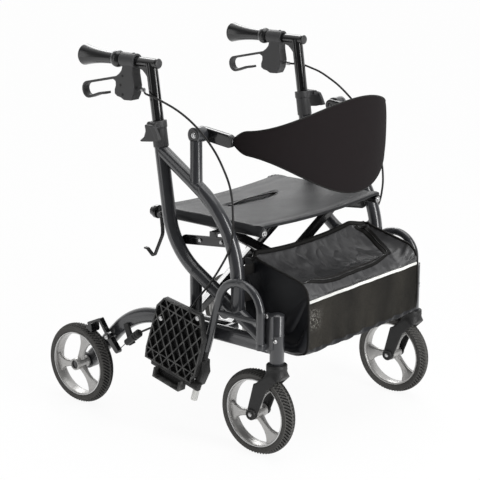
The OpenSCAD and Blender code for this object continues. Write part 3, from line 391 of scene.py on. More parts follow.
def reflective_tape():
    made = Finish("reflective_tape", colours().stripe, 0.36)
    cloud = made.noise(40, 4, (0.3, 1.0, 1.0))
    made.feed("Base Color", made.shade(cloud.step(0.25, 0.65), 0.62, 1.0))
    made.bump(made.threads("X", 1.6), 0.3, 0.2)
    return made.material


def leg_finish():
    """Pale tube below the black hinge block: the colours part by height along the leg."""
    made = Finish("leg_finish", colours().black_plastic, 0.4, specular_ior_level=0.32)
    reach = made.along("X")
    out = (reach * reach) ** 0.5
    tube = out.step(0.3125, 0.3115) * made.along("Z").step(0.1385, 0.1375)
    grain = made.noise(700, 2)
    made.feed("Base Color", made.mix(tube, made.shade(grain, 0.8, 1.2), tone("#d4d4d1")))
    made.feed("Metallic", tube * 0.35)
    made.feed("Roughness", 0.46 - 0.18 * tube + 0.08 * grain)
    return made.material


# Finishes of one kind: the kind, the colour, its values in order and other inputs of the shader
PLAIN = {
    "grey_plastic": (moulded, "grey_plastic", (0.46, 1.1, 0.35), {"specular_ior_level": 0.5}),
    "black_plastic": (moulded, "black_plastic", (0.48, 1.4, 0.2), {}),
    "grip_rubber": (moulded, "grip", (0.32, 2.2, 0.1), {"coat_weight": 0.8, "coat_roughness": 0.14}),
    "tyre_rubber": (moulded, "tyre", (0.78, 1.6, 0.25), {}),
    "cable_jacket": (moulded, "cable", (0.42, 1.0, 0.1), {}),
    "seat_cloth": (woven, "seat", (1.4, 0.46, 0.3), {"specular_ior_level": 0.27}),
    "band_cloth": (woven, "band", (1.0, 0.85, 0.25), {"specular_ior_level": 0.12}),
    "side_nylon": (woven, "side_nylon", (1.1, 0.4, 0.2), {}),
    "bag_binding": (woven, "binding", (1.0, 0.6, 0.3), {}),
}
RECIPES = {
    recipe.__name__: recipe for recipe in (
        frame_paint, black_gloss, footplate_plastic, rim_paint, bright_steel, bag_nylon, bag_net,
        reflective_tape, leg_finish,
    )
}


def finish(name):
    """The material of that name, made when it is first asked for."""
    known = bpy.data.materials.get(f"{name}_look")
    if known:
        return known
    if name in RECIPES:
        return RECIPES[name]()
    kind, hue, values, shader = PLAIN[name]
    return kind(name, getattr(colours(), hue), *values, **shader).material


# The CAD nodes that stay in view, by finish; a side piece is named without its side
FINISHED = {
    "frame_paint": ("rear_tube", "front_tube", "bottom_rail", "caster_housing", "footrest_hanger"),
    "black_gloss": (
        "seat_rest", "handle_tube", "brake_arm", "rear_axle", "caster_axle", "backrest_arm", "seat_rail",
        "cross_arm",
    ),
    "grey_plastic": ("height_clamp", "clamp_lever", "brake_housing", "brake_lever"),
    "black_plastic": ("cable_adjuster", "caster_fork", "fold_hook"),
    "grip_rubber": ("hand_grip",),
    "leg_finish": ("footrest_leg",),
    "footplate_plastic": ("footplate",),
    "bright_steel": ("cross_pivot_bolt",),
}
NODE_FINISH = {node: name for name, nodes in FINISHED.items() for node in nodes}


# Mesh helpers
LEAST_RADIUS = 0.02


def circle(steps):
    """Cosine and sine at even steps round a circle."""
    return [(math.cos(math.tau * k / steps), math.sin(math.tau * k / steps)) for k in range(steps)]


def clamped(share):
    return min(1.0, max(0.0, share))


def ease(share):
    """Smooth step from 0 to 1."""
    share = clamped(share)
    return share * share * (3 - 2 * share)


def mirrored(point, side):
    """A point in millimetres as metres, on the right or left side."""
    return (point[0] * side * MM, point[1] * MM, point[2] * MM)


def linked(name, data):
    """A new object in the scene."""
    made = bpy.data.objects.new(name, data)
    bpy.context.collection.objects.link(made)
    return made


class Shape:
    """Points in millimetres and the faces between them, gathered into one mesh."""

    def __init__(self):
        self.points = []
        self.faces = []
        self.tags = []

    def skin(self, rings, caps=True, tag=0, around=True, tag_of=None):
        """Joins rings of equal length one after the other; an open ring gives a strip."""
        count = len(rings[0])
        points = [p for ring in rings for p in ring]
        faces = []
        tags = []
        for i in range(len(rings) - 1):
            for j in range(count if around else count - 1):
                k = (j + 1) % count
                here, there = i * count, (i + 1) * count
                faces.append((here + j, here + k, there + k, there + j))
                tags.append(tag_of(i, j) if tag_of else tag)
        if caps and around:
            faces.append(tuple(reversed(range(count))))
            faces.append(tuple((len(rings) - 1) * count + j for j in range(count)))
            tags.extend([tag, tag])
        first = len(self.points)
        self.points.extend(Vector(p) for p in points)
        self.faces.extend(tuple(first + i for i in face) for face in faces)
        self.tags.extend(tags)
        return self

    def lathe(self, centre, axis, profile, steps=32, tag=0):
        """Turns pairs of radius and height about an axis."""
        up = Vector(axis).normalized()
        side = up.orthogonal().normalized()
        other = up.cross(side)
        rings = []
        for radius, height in profile:
            middle = Vector(centre) + up * height
            wide = max(radius, LEAST_RADIUS)
            rings.append([middle + (side * c + other * s) * wide for c, s in circle(steps)])
        return self.skin(rings, caps=profile[0] != profile[-1], tag=tag)

    def tube(self, path, radius, sides=12, caps=True, tag=0, flat=1.0, up=None):
        """A round or flattened tube along a path, turned as little as the path allows."""
        path = [Vector(p) for p in path]
        rings = []
        normal = None
        for i, here in enumerate(path):
            ahead = (path[min(i + 1, len(path) - 1)] - path[max(i - 1, 0)]).normalized()
            if normal is None:
                normal = Vector(up) if up else ahead.orthogonal()
            normal = (normal - ahead * normal.dot(ahead)).normalized()
            across = ahead.cross(normal)
            r = radius[i] if hasattr(radius, "__len__") else radius
            rings.append([here + (across * c + normal * s * flat) * r for c, s in circle(sides)])
        return self.skin(rings, caps=caps, tag=tag)

    def build(self, name, finishes, side=1.0, crease=38):
        """A smooth mesh object; tags pick from the list of finishes."""
        mesh = bpy.data.meshes.new(name)
        mesh.from_pydata([mirrored(p, side) for p in self.points], [], self.faces)
        for recipe in finishes if isinstance(finishes, (list, tuple)) else [finishes]:
            mesh.materials.append(finish(recipe))
        mesh.polygons.foreach_set("material_index", self.tags)
        tidy = bmesh.new()
        tidy.from_mesh(mesh)
        bmesh.ops.recalc_face_normals(tidy, faces=tidy.faces)
        tidy.to_mesh(mesh)
        tidy.free()
        mesh.shade_smooth()
        mesh.set_sharp_from_angle(angle=math.radians(crease))
        return linked(name, mesh)


def settle(piece, body, replaces=()):
    """Lets a piece ride on a body and the nodes that it stands for."""
    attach(piece, body)
    if replaces:
        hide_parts(*replaces)
    return piece


def curve_through(points, steps):
    """A smooth line through points, with a number of steps between each two."""
    pts = [Vector(p) for p in points]
    line = []
    for i in range(len(pts) - 1):
        a, b, c, d = pts[max(i - 1, 0)], pts[i], pts[i + 1], pts[min(i + 2, len(pts) - 1)]
        for k in range(steps):
            t = k / steps
            line.append(
                b + (c - a) * (t / 2) + (a - b * 2.5 + c * 2 - d / 2) * t ** 2
                + (b * 3 - a - c * 3 + d) * (t ** 3 / 2)
            )
    line.append(pts[-1])
    return line


def ripple(point, pitch, seed=0.0):
    """Smooth noise from -1 to 1 over space, with a given pitch in millimetres."""
    return noise.noise(Vector(point) / pitch + Vector((seed, 3.1 * seed, 1.7)))


# Threads that hold cloth together: steps down and along, and stiffness
THREADS = ((1, 0, 1.0), (0, 1, 1.0), (1, 1, 0.5), (1, -1, 0.5), (2, 0, 0.16), (0, 2, 0.16))


def drape(grid, held, slack, fall=0.12, rounds=110):
    """Lets cloth settle. The grid's columns run round in a loop, held points stay where they are, and the
    threads of each column are longer by its slack than the gaps that they span."""
    start = np.array([[tuple(p) for p in row] for row in grid])
    held = np.array(held)
    slack = 1 + np.array(slack)
    ties = []
    for down, along, stiff in THREADS:
        span = np.linalg.norm(np.roll(start, (-down, -along), (0, 1)) - start, axis=2)
        inside = np.arange(len(start))[:, None] < len(start) - down
        ties.append((down, along, span * slack, 0.3 * stiff * inside))
    here = start.copy()
    before = start.copy()
    for _ in range(rounds):
        moved = here + (here - before) * 0.9
        before = here
        here = moved
        here[..., 2] -= fall
        for _ in range(10):
            for down, along, rest, stiff in ties:
                gap = np.roll(here, (-down, -along), (0, 1)) - here
                far = np.maximum(np.linalg.norm(gap, axis=2), 0.001)
                push = gap * (stiff * (far - rest) / far)[..., None]
                here = here + push - np.roll(push, (down, along), (0, 1))
            here[held] = start[held]
    return [[Vector(p) for p in row] for row in here]


# Brake cables: the route, in millimetres, of the right one
CABLE_ROUTE = (
    (-266, 73.2, 796), (-266, 68, 796), (-277.6, 56, 794.8), (-289.2, 40, 792.3), (-289.2, 16, 787.4),
    (-289.2, -12, 780), (-286, -42, 768.8), (-284, -72, 754.5), (-282, -101, 736), (-281, -131, 711.8),
    (-280, -160, 681.1), (-281, -183, 649), (-282, -201, 616), (-283, -210, 583), (-285.3, -214, 549),
    (-285.3, -214, 515), (-285.3, -204, 470), (-285.3, -173, 418), (-285.3, -144, 379), (-285.3, -112, 341),
    (-283, -80, 303), (-280, -40, 276), (-282, 10, 250), (-282, 45, 234), (-282, 78.6, 216.3),
)
CABLE_CLIP_AT = 20
FERRULE = (-FRAME_X, 76, 796)
FERRULE_PROFILE = (
    (4.6, 0), (4.8, 1), (4.8, 5), (4.2, 5.6), (4.2, 6.4), (4.6, 7), (4.6, 9), (3.4, 10), (2.6, 10.5),
)
CLIP_PROFILE = ((2.7, 0), (4.6, 0.4), (5, 2), (5, 8), (4.6, 9.6), (2.7, 10))
CLIP_TAIL = ((0, 0, 3), (6, -1, 8), (9, -2, 14))


class CHAIR_OT_cables(Operator):
    """Brake cables with their ferrules and clips"""

    bl_idname = "chair.cables"
    bl_label = "Brake cables"

    def execute(self, context):
        radius = size("cable_radius")
        path = curve_through(CABLE_ROUTE, 5)
        clip = Vector(CABLE_ROUTE[CABLE_CLIP_AT])
        before, after = (Vector(CABLE_ROUTE[CABLE_CLIP_AT + step]) for step in (-1, 1))
        way = (after - before).normalized()
        for side, sign in SIDES:
            cable = Shape().tube(path, radius, 12).build(f"{side}_cable", "cable_jacket", sign, 60)
            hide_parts(f"{side}_brake_cable")
            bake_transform(cable)
            ferrule = Shape().lathe(FERRULE, (0, -1, 0), FERRULE_PROFILE, 24)
            settle(ferrule.build(f"{side}_ferrule", "bright_steel", sign), f"{side}_handle")
            holder = Shape().lathe(clip - way * 5, way, CLIP_PROFILE, 20)
            holder.tube([clip + Vector(step) for step in CLIP_TAIL], 3.4, 10)
            piece = holder.build(f"{side}_cable_clip", "black_plastic", sign)
            settle(piece, f"{side}_frame")
        return {"FINISHED"}


# Moulded pieces that are rounded all over: size of the new mesh's cells, and rounds of smoothing
ROUNDED = {
    "caster_fork": (1.3, 28), "brake_housing": (0.9, 8), "brake_lever": (0.9, 5), "clamp_lever": (0.8, 10),
    "height_clamp": (0.9, 5), "backrest_arm": (1.2, 24), "fold_hook": (0.8, 5), "cable_adjuster": (0.8, 4),
    "brake_arm": (0.9, 5),
}
# Edge widths of the others
BEVELS = {"footrest_leg": 1.4, "footplate": 0.7, "cross_arm": 1.6, "seat_rest": 1.0}
# Points nearer than this are one point; angles at which faces count as flat, edges as sharp and as bevelled
WELD_REACH = 0.02
FLAT_ANGLE, SHARP_ANGLE, BEVEL_ANGLE = math.radians(0.4), math.radians(32), math.radians(40)


def kind_of(node):
    """A node's name without its side."""
    for side, _ in SIDES:
        if node.startswith(f"{side}_"):
            return node[len(side) + 1:]
    return node


class CHAIR_OT_rigid_parts(Operator):
    """Finishes and rounded edges of the rigid parts"""

    bl_idname = "chair.rigid_parts"
    bl_label = "Rigid parts"

    def execute(self, context):
        for name, part in CAD_NODES.items():
            kind = kind_of(name)
            if kind not in NODE_FINISH:
                continue
            material = finish(NODE_FINISH[kind])
            for slot in part.material_slots:
                slot.material = material
            weld = part.modifiers.new("Weld", "WELD")
            weld.merge_threshold = WELD_REACH * MM
            if kind in ROUNDED:
                self.round_off(part, *ROUNDED[kind])
            else:
                self.bevel(part, BEVELS.get(kind, size("edge")))
            part.data.shade_smooth()
            part.data.set_sharp_from_angle(angle=SHARP_ANGLE)
        return {"FINISHED"}

    def round_off(self, part, cell, rounds):
        """Gives a moulded piece soft edges everywhere."""
        remesh = part.modifiers.new("Moulded", "REMESH")
        remesh.mode = "VOXEL"
        remesh.voxel_size = cell * MM
        remesh.use_smooth_shade = True
        smooth = part.modifiers.new("Soft edges", "SMOOTH")
        smooth.factor = 0.5
        smooth.iterations = rounds

    def bevel(self, part, width):
        """Breaks the sharp edges of a cut or welded piece."""
        flat = part.modifiers.new("Flat faces", "DECIMATE")
        flat.decimate_type = "DISSOLVE"
        flat.angle_limit = FLAT_ANGLE
        edges = part.modifiers.new("Edges", "BEVEL")
        edges.width = width * MM
        edges.segments = 3
        edges.limit_method = "ANGLE"
        edges.angle_limit = BEVEL_ANGLE
        edges.harden_normals = True


# Wheels, drawn about their axle with the outboard side towards -X
RIM_RADIUS = 80
SPOKE_TURN = math.radians(-15)
SPOKE_RADII = (11, 20, 30, 42, 53, 62, 69, 75)
SPOKE_WIDTHS = (17, 15.5, 15, 17, 22, 31, 42, 52)
SPOKE_DEPTHS = (18, 15, 12.5, 11.5, 12, 14, 17, 20)
SPOKE_SHIFTS = (-4, -4.5, -5, -5, -4.5, -3.5, -2, -1)
# Radii and places along the axle of the rim's barrel and of its bright edge
BARREL = (
    (80.2, -13.5), (80.4, -15), (79.2, -16), (77.4, -15.6), (76.2, -14), (75.4, -9), (74.6, 0), (74.6, 8),
    (75.6, 12.5), (77, 14.2), (79.2, 14.6), (80.2, 13.5), (80.2, -13.5),
)
RIM_EDGE = ((78.4, -16.4), (79.4, -16.6), (80.0, -16.0), (79.4, -15.4), (78.4, -15.6), (78.4, -16.4))
# Hubs: from and to along the axle, bore, nut and depth of the outer ring
HUBS = (("rear", -14, 17, 6.1, 10.5, 11), ("caster", -18, 18, 5.1, 8.5, 0.5))


def tyre_shape(centre, outer, width):
    """A tyre with slanting grooves on both shoulders of its tread; the grooves' deep faces take the second,
    darker finish, which paints the shade in them.
    """
    grooves = bpy.context.scene.chair_sizes.tread_grooves
    depth = size("tread_depth")
    crown = 24
    half = width / 2
    steps = grooves * 6
    tread = [-half + width * i / 18 for i in range(19)]
    wall = [(-half + 0.5, RIM_RADIUS + 7), (-half + 2.2, RIM_RADIUS + 3), (-half + 4, RIM_RADIUS + 0.4)]
    rings = []
    sunk = []
    for k in range(steps):
        angle = math.tau * k / steps
        ring = []
        cuts = []
        for x in tread:
            radius = outer - crown + math.sqrt(crown * crown - x * x)
            slant = angle * grooves / math.tau + abs(x) * 0.11
            groove = 0.5 + 0.5 * math.sin(slant * math.tau)
            shoulder = clamped((abs(x) - 1.5) / 2) * clamped((half - 1.0 - abs(x)) / 2)
            cuts.append(shoulder * clamped((groove - 0.5) * 5))
            ring.append((x, radius - depth * cuts[-1]))
        ring = wall[::-1] + ring + [(-x, r) for x, r in wall]
        rings.append([centre + Vector((x, r * math.cos(angle), r * math.sin(angle))) for x, r in ring])
        # Painted shade: the deeper half of each groove is tagged for the dark finish.
        sunk.append([0] * len(wall) + [int(cut > 0.5) for cut in cuts] + [0] * len(wall))
    rings.append(rings[0])
    return Shape().skin(rings, caps=False, tag_of=lambda i, j: sunk[i][j])


def rim_shape(centre, hub_from, hub_to, bore, nut, ring):
    """Deep barrel with a lip, three paddle spokes and a stepped hub."""
    made = Shape().lathe(centre, (1, 0, 0), BARREL, 96)
    outside = hub_from - ring
    made.lathe(centre, (1, 0, 0), (
        (bore, hub_from + 1), (nut, hub_from + 0.6), (nut, outside + 1.2), (nut + 1, outside),
        (13.2, outside), (14.6, outside + 1.4), (15.2, hub_from + 3), (15, hub_to - 3), (14, hub_to),
        (bore, hub_to),
    ), 48)
    for spoke in range(3):
        turn = SPOKE_TURN + math.tau * spoke / 3
        out = Vector((0, math.cos(turn), math.sin(turn)))
        across = Vector((0, -math.sin(turn), math.cos(turn)))
        rings = []
        for radius, wide, deep, shift in zip(SPOKE_RADII, SPOKE_WIDTHS, SPOKE_DEPTHS, SPOKE_SHIFTS):
            sweep = 7 * ((radius - SPOKE_RADII[0]) / (SPOKE_RADII[-1] - SPOKE_RADII[0])) ** 2
            ring = []
            for c, s in circle(20):
                t = math.copysign(abs(c) ** 0.6, c) * wide / 2
                x = math.copysign(abs(s) ** 0.6, s) * deep / 2 + shift
                hollow = 3.2 * (radius / SPOKE_RADII[-1]) ** 2 * (1 - (2 * t / wide) ** 2) if s < 0 else 0
                ring.append(
                    centre + out * math.sqrt(max(radius * radius - t * t * 0.6, 1)) + across * (t + sweep)
                    + Vector((x + hollow, 0, 0))
                )
            rings.append(ring)
        made.skin(rings)
    return made


class CHAIR_OT_wheels(Operator):
    """Tyres with tread, spoked rims and their bright edges"""

    bl_idname = "chair.wheels"
    bl_label = "Wheels"

    def execute(self, context):
        for side, sign in SIDES:
            for kind, *hub in HUBS:
                low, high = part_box(f"{side}_{kind}_tyre")
                centre = (low + high) / 2 / MM
                centre.x *= sign
                body = f"{side}_{kind}_wheel"
                outer = (high.z - low.z) / 2 / MM
                width = (high.x - low.x) / MM
                # The second finish, the dark cable jacket, is painted shade in the tread's grooves.
                tyre = tyre_shape(centre, outer, width).build(
                    f"{side}_{kind}_tread", ["tyre_rubber", "cable_jacket"], sign, 30
                )
                settle(tyre, body, [f"{side}_{kind}_tyre"])
                rim = rim_shape(centre, *hub).build(f"{side}_{kind}_spokes", "rim_paint", sign)
                settle(rim, body, [f"{side}_{kind}_rim"])
                edge = Shape().lathe(centre, (1, 0, 0), RIM_EDGE, 96)
                piece = edge.build(f"{side}_{kind}_rim_edge", "bright_steel", sign)
                settle(piece, body)
        return {"FINISHED"}


# Seat: a padded cloth laid over the two rails, with rolled hems
SEAT_RAIL = (217.5, 500.0)
SEAT_RAIL_R = 10.0
# Radius of the cloth's underside where it wraps a rail
SEAT_WRAP_R = SEAT_RAIL_R + 0.3
SEAT_Y = (-246.0, 64.0)
SEAT_SLIT = (-85.0, 91.0, -32.0)


def seat_underside(x, y):
    """Height of the cloth's underside between the rails."""
    across = max(0.0, 1 - (x / (SEAT_RAIL[0] - 2 * SEAT_RAIL_R)) ** 2)
    along = (y - SEAT_Y[0]) / (SEAT_Y[1] - SEAT_Y[0])
    sag = size("seat_sag") * across * (0.75 + 0.25 * math.sin(math.pi * along))
    return SEAT_RAIL[1] + SEAT_WRAP_R - sag


def seat_line():
    """Stations across the seat: x, a height or none, and the outward direction in x and z."""
    wrapped = []
    for a in (math.radians(turn) for turn in (198, 180, 160, 140, 120, 105, 90)):
        c, s = math.cos(a), math.sin(a)
        wrapped.append((SEAT_WRAP_R * c - SEAT_RAIL[0], SEAT_RAIL[1] + SEAT_WRAP_R * s, c, s))
    flat = [(-SEAT_RAIL[0] + 2 * SEAT_RAIL[0] * i / 40, None, 0.0, 1.0) for i in range(1, 40)]
    return wrapped + flat + [(-x, z, -out_x, out_z) for x, z, out_x, out_z in reversed(wrapped)]


def seat_top(x, y):
    """Height of the cloth's upper face above its underside, with hems, folds and the slit."""
    thick = size("seat_thickness")
    front = (y - SEAT_Y[0]) / 16
    rear = (SEAT_Y[1] - y) / 16
    hem = 2.4 * max(0, 1 - abs(front - 0.5)) + 0.8 * max(0, 1 - abs(rear - 0.5))
    groove = -1.0 * math.exp(-((front - 1.7) / 0.25) ** 2) - 0.8 * math.exp(-((rear - 1.7) / 0.25) ** 2)
    side_seam = -0.9 * math.exp(-((abs(x) - 196) / 3.0) ** 2)
    folds = 1.1 * ripple((x, y, 0), 70, 1.0) + 0.5 * ripple((x, y, 0), 26, 2.0)
    slit_x = max(0, abs(x - (SEAT_SLIT[0] + SEAT_SLIT[1]) / 2) - (SEAT_SLIT[1] - SEAT_SLIT[0]) / 2)
    slit = -5.5 * math.exp(-((y - SEAT_SLIT[2]) / 6.5) ** 4 - (slit_x / 8.0) ** 2)
    lip = 2.4 * math.exp(-((y - SEAT_SLIT[2] - 12) / 5.0) ** 2 - (slit_x / 12.0) ** 2)
    return thick + hem + groove + side_seam + folds * min(1, front / 2, rear / 2) + slit + lip


class CHAIR_OT_seat(Operator):
    """Seat cloth with rolled hems, and its pull strap"""

    bl_idname = "chair.seat"
    bl_label = "Seat"

    def execute(self, context):
        rows = 44
        ys = [SEAT_Y[0] + (SEAT_Y[1] - SEAT_Y[0]) * j / rows for j in range(rows + 1)]
        rings = []
        for x, z, out_x, out_z in seat_line():
            wrapped = z is not None
            last = 38 if wrapped and out_z < 0.7 else SEAT_Y[1]
            span = (last - SEAT_Y[0]) / (SEAT_Y[1] - SEAT_Y[0])

            def at(y, height):
                y = SEAT_Y[0] + (y - SEAT_Y[0]) * span
                base = z if wrapped else seat_underside(x, y)
                return Vector((x + out_x * height, y, base + out_z * height))

            def thickness(y):
                if wrapped and out_z < 0.9:
                    return 2.6 + 0.5 * ripple((x, y, 0), 40, 4.0)
                return seat_top(x, y)

            upper = [at(y, thickness(y)) for y in ys]
            lower = [at(y, 0) for y in ys]
            roll = thickness(SEAT_Y[0])
            turns = circle(14)[1:7]
            front = [at(SEAT_Y[0] - roll * 0.5 * s, roll * (0.5 - 0.5 * c)) for c, s in turns]
            rear = [at(SEAT_Y[1] + roll * 0.5 * s, roll * (0.5 + 0.5 * c)) for c, s in turns]
            rings.append(upper + rear + lower[::-1] + front)
        seat = Shape().skin(rings).build("seat_cloth", "seat_cloth", 1.0, 60)
        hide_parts("seat_sling")
        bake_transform(seat)
        path = []
        for i in range(33):
            t = i / 32
            x = SEAT_SLIT[0] + (SEAT_SLIT[1] - SEAT_SLIT[0]) * t
            y = SEAT_SLIT[2] + 2 * math.sin(math.tau * t)
            lift = 4 + 7 * math.sin(math.pi * t) ** 0.7
            path.append((x, y, seat_underside(x, y) + lift))
        band = Shape().tube(path, 7, 12, flat=0.2, up=(0, 0.5, 1))
        strap = band.build("seat_pull_strap", "bag_nylon", 1.0, 50)
        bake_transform(strap)
        return {"FINISHED"}


# Backrest band: a padded strip, bent to a bow in plan and tall in its middle
BAND_X = 236.5
BAND_END_Y = -177.8
BAND_Z = 702.1
BAND_RISE = 88
BAND_DROP = 128
BAND_NECK = (8, 25)
BAND_END_T = 5


def band_point(angle, height, depth):
    """A point of the band: angle round the bow, height from -1 to 1, depth -1 inside and 1 outside."""
    bulge = size("band_bulge")
    c = max(math.cos(angle), 0)
    swell = c ** 2.5
    neck = BAND_NECK[0] + (BAND_NECK[1] - BAND_NECK[0]) * math.sin(math.pi / 2 * min(1, c / 0.2))
    half = neck + ((BAND_RISE if height > 0 else BAND_DROP) - BAND_NECK[1]) * swell
    thick = BAND_END_T + (size("band_padding") - BAND_END_T) * swell
    pad = thick * math.sqrt(max(0.03, 1 - height * height))
    out = Vector((math.sin(angle) / BAND_X, -math.cos(angle) / bulge, 0)).normalized()
    at = Vector((BAND_X * math.sin(angle), BAND_END_Y - bulge * math.cos(angle), BAND_Z + half * height))
    pinch = (1 - c) ** 3 * 0.9 * math.sin(height * 9)
    folds = 1.1 * swell * ripple(at, 90, 6.0) * (1 - height * height)
    return at + out * (depth * pad / 2 + (pinch + folds) * (1 if depth else 0))


class CHAIR_OT_backrest(Operator):
    """Padded backrest band with its edge binding"""

    bl_idname = "chair.backrest"
    bl_label = "Backrest band"

    def execute(self, context):
        columns, rows = 100, 26
        angles = []
        for i in range(columns + 1):
            t = 2 * i / columns - 1
            angles.append(math.pi / 2 * (1.3 * t - 0.3 * t ** 3))
        heights = [math.sin(math.pi / 2 * (2 * j / rows - 1)) for j in range(rows + 1)]
        rings = [
            [band_point(a, h, 1) for h in heights] + [band_point(a, h, -1) for h in reversed(heights)]
            for a in angles
        ]
        band = Shape().skin(rings).build("backrest_band", "band_cloth", 1.0, 70)
        settle(band, "right_backrest", ["backrest_pad"])
        hems = Shape()
        for edge in (-1, 1):
            hems.tube([band_point(a, edge, 0) for a in angles], 2.1, 8)
        hem = hems.build("backrest_hem", "bag_binding", 1.0, 60)
        settle(hem, "right_backrest")
        for piece in (band, hem):
            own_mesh(piece)
        return {"FINISHED"}


# Storage bag: a lofted shell between two side outlines
BAG_X = 213
BAG_OUTLINE = (
    (-190, 441), (-222, 436), (-262, 426), (-320, 412), (-349, 404), (-364, 390), (-370, 372), (-372, 330),
    (-372, 276), (-369, 254), (-360, 240), (-330, 236), (-260, 246), (-194, 258), (-189, 300), (-188, 380),
)
BAG_STEPS = 6
BAG_COLUMNS = 64
# Places along the outline, counted in its points: zip, tape, front edge of the floor and back
BAG_ZIP = 19 / 6
BAG_TAPE = (6.2, 6.36)
BAG_FLOOR = 10
BAG_BACK = 13
# The zip's way round the lid: across from -1 to 1, and along the outline
ZIP_WAY = (
    (-0.9, 0.35), (-0.89, 1.5), (-0.86, 2.4), (-0.78, 3.0), (-0.6, 3.4), (-0.3, 3.5), (0.1, 3.5),
    (0.45, 3.45), (0.68, 3.2), (0.82, 2.7), (0.9, 2.0), (0.93, 1.2), (0.9, 0.35),
)
# Length of the lid's outline between two of its points, about
PART_LENGTH = 42
# The straps that hang the bag on the frame: their way out, their heights and where they hang
BAG_STRAP = ((BAG_X - 2, -214.5, 12), (232, -214, 13), (249.5, -214.5, 12))
BAG_STRAP_Z = (340, 402)
# Rings from the edge of a side panel to its middle
SIDE_RINGS = 15


def bag_loop():
    """The bag's side outline as a closed smooth line of y and z, with the part of each point."""
    pts = [Vector((y, z, 0)) for y, z in BAG_OUTLINE]
    n = len(pts)
    loop = []
    for i in range(n):
        a, b, c, d = pts[i - 1], pts[i], pts[(i + 1) % n], pts[(i + 2) % n]
        for k in range(BAG_STEPS):
            t = k / BAG_STEPS
            p = b + (c - a) * (t / 3) + ((c - b) * 3 - (c - a) * (2 / 3) - (d - b) / 3) * t ** 2
            p += ((b - c) * 2 + (c - a) / 3 + (d - b) / 3) * t ** 3
            loop.append((p.x, p.y, i + t))
    return loop


def bag_start(u, y, z, part):
    """A point of the shell before its cloth settles, at u from -1 to 1 across."""
    inner = max(0.0, 1 - u * u)
    sink = size("lid_sag") * ease(part / 2) * (1 - ease((part - BAG_ZIP) / 2.6)) * inner ** 0.45
    rear = 16 * (1 - abs(u) ** 2.2) * (1 - ease(part / 4)) if part < BAG_BACK else 0
    point = Vector((BAG_X * u, y, z - sink - rear))
    if part > BAG_ZIP:
        point.y += 0.3 * sink
    if part >= BAG_BACK:
        point.z -= 16 * (1 - abs(u) ** 2.2) * ease((part - BAG_BACK - 1) / 2)
    corner = ease((abs(u) - 0.82) / 0.18)
    point.y -= 20 * corner * (1 - ease(part / 1.5))
    if part < BAG_BACK:
        point.z -= 9 * corner * (1 - ease(part / 0.9))
    lid = ease(part / 0.8) * (1 - ease((part - BAG_TAPE[0] + 0.9) / 0.8)) * inner ** 0.3
    streak = (point.x * 0.9 + point.y * 0.5, point.x * 0.35 - point.y * 0.8, 0)
    point.z += lid * (9 * (0.25 - abs(ripple(streak, 60, 3.0))) + 2.2 * ripple(point, 22, 6.0))
    crumple = 3.2 * ease((part - 8.6) / 1.6) * (1 - ease((part - BAG_BACK + 1) / 1.5))
    point.z += (0.5 + crumple) * ripple(point, 34, 7.0)
    point.y += (0.5 + 0.6 * crumple) * ripple(point, 30, 9.0)
    return point


def bag_slack(part):
    """How much longer the cloth is than the gap it spans."""
    if part < BAG_TAPE[0]:
        return 0.034 if part < BAG_ZIP else 0.026
    if part < BAG_FLOOR - 1:
        return 0.006
    return 0.045 if part < BAG_BACK else 0.01


def bag_held(u, part):
    """Whether a point of the shell stays put: on its edges, the tape and the zip's front."""
    zip_front = abs(part - BAG_ZIP) < 0.1 and -0.7 < u < 0.64
    tape = BAG_TAPE[0] - 0.2 < part < BAG_TAPE[1] + 0.1
    return abs(u) > 0.999 or part in (0, BAG_FLOOR, BAG_BACK) or zip_front or tape


def bag_panel(part):
    """Which finish a part of the shell has: lid and front band, net, or floor and back."""
    if part < BAG_TAPE[0]:
        return 0
    return 1 if part < BAG_FLOOR - 1 else 2


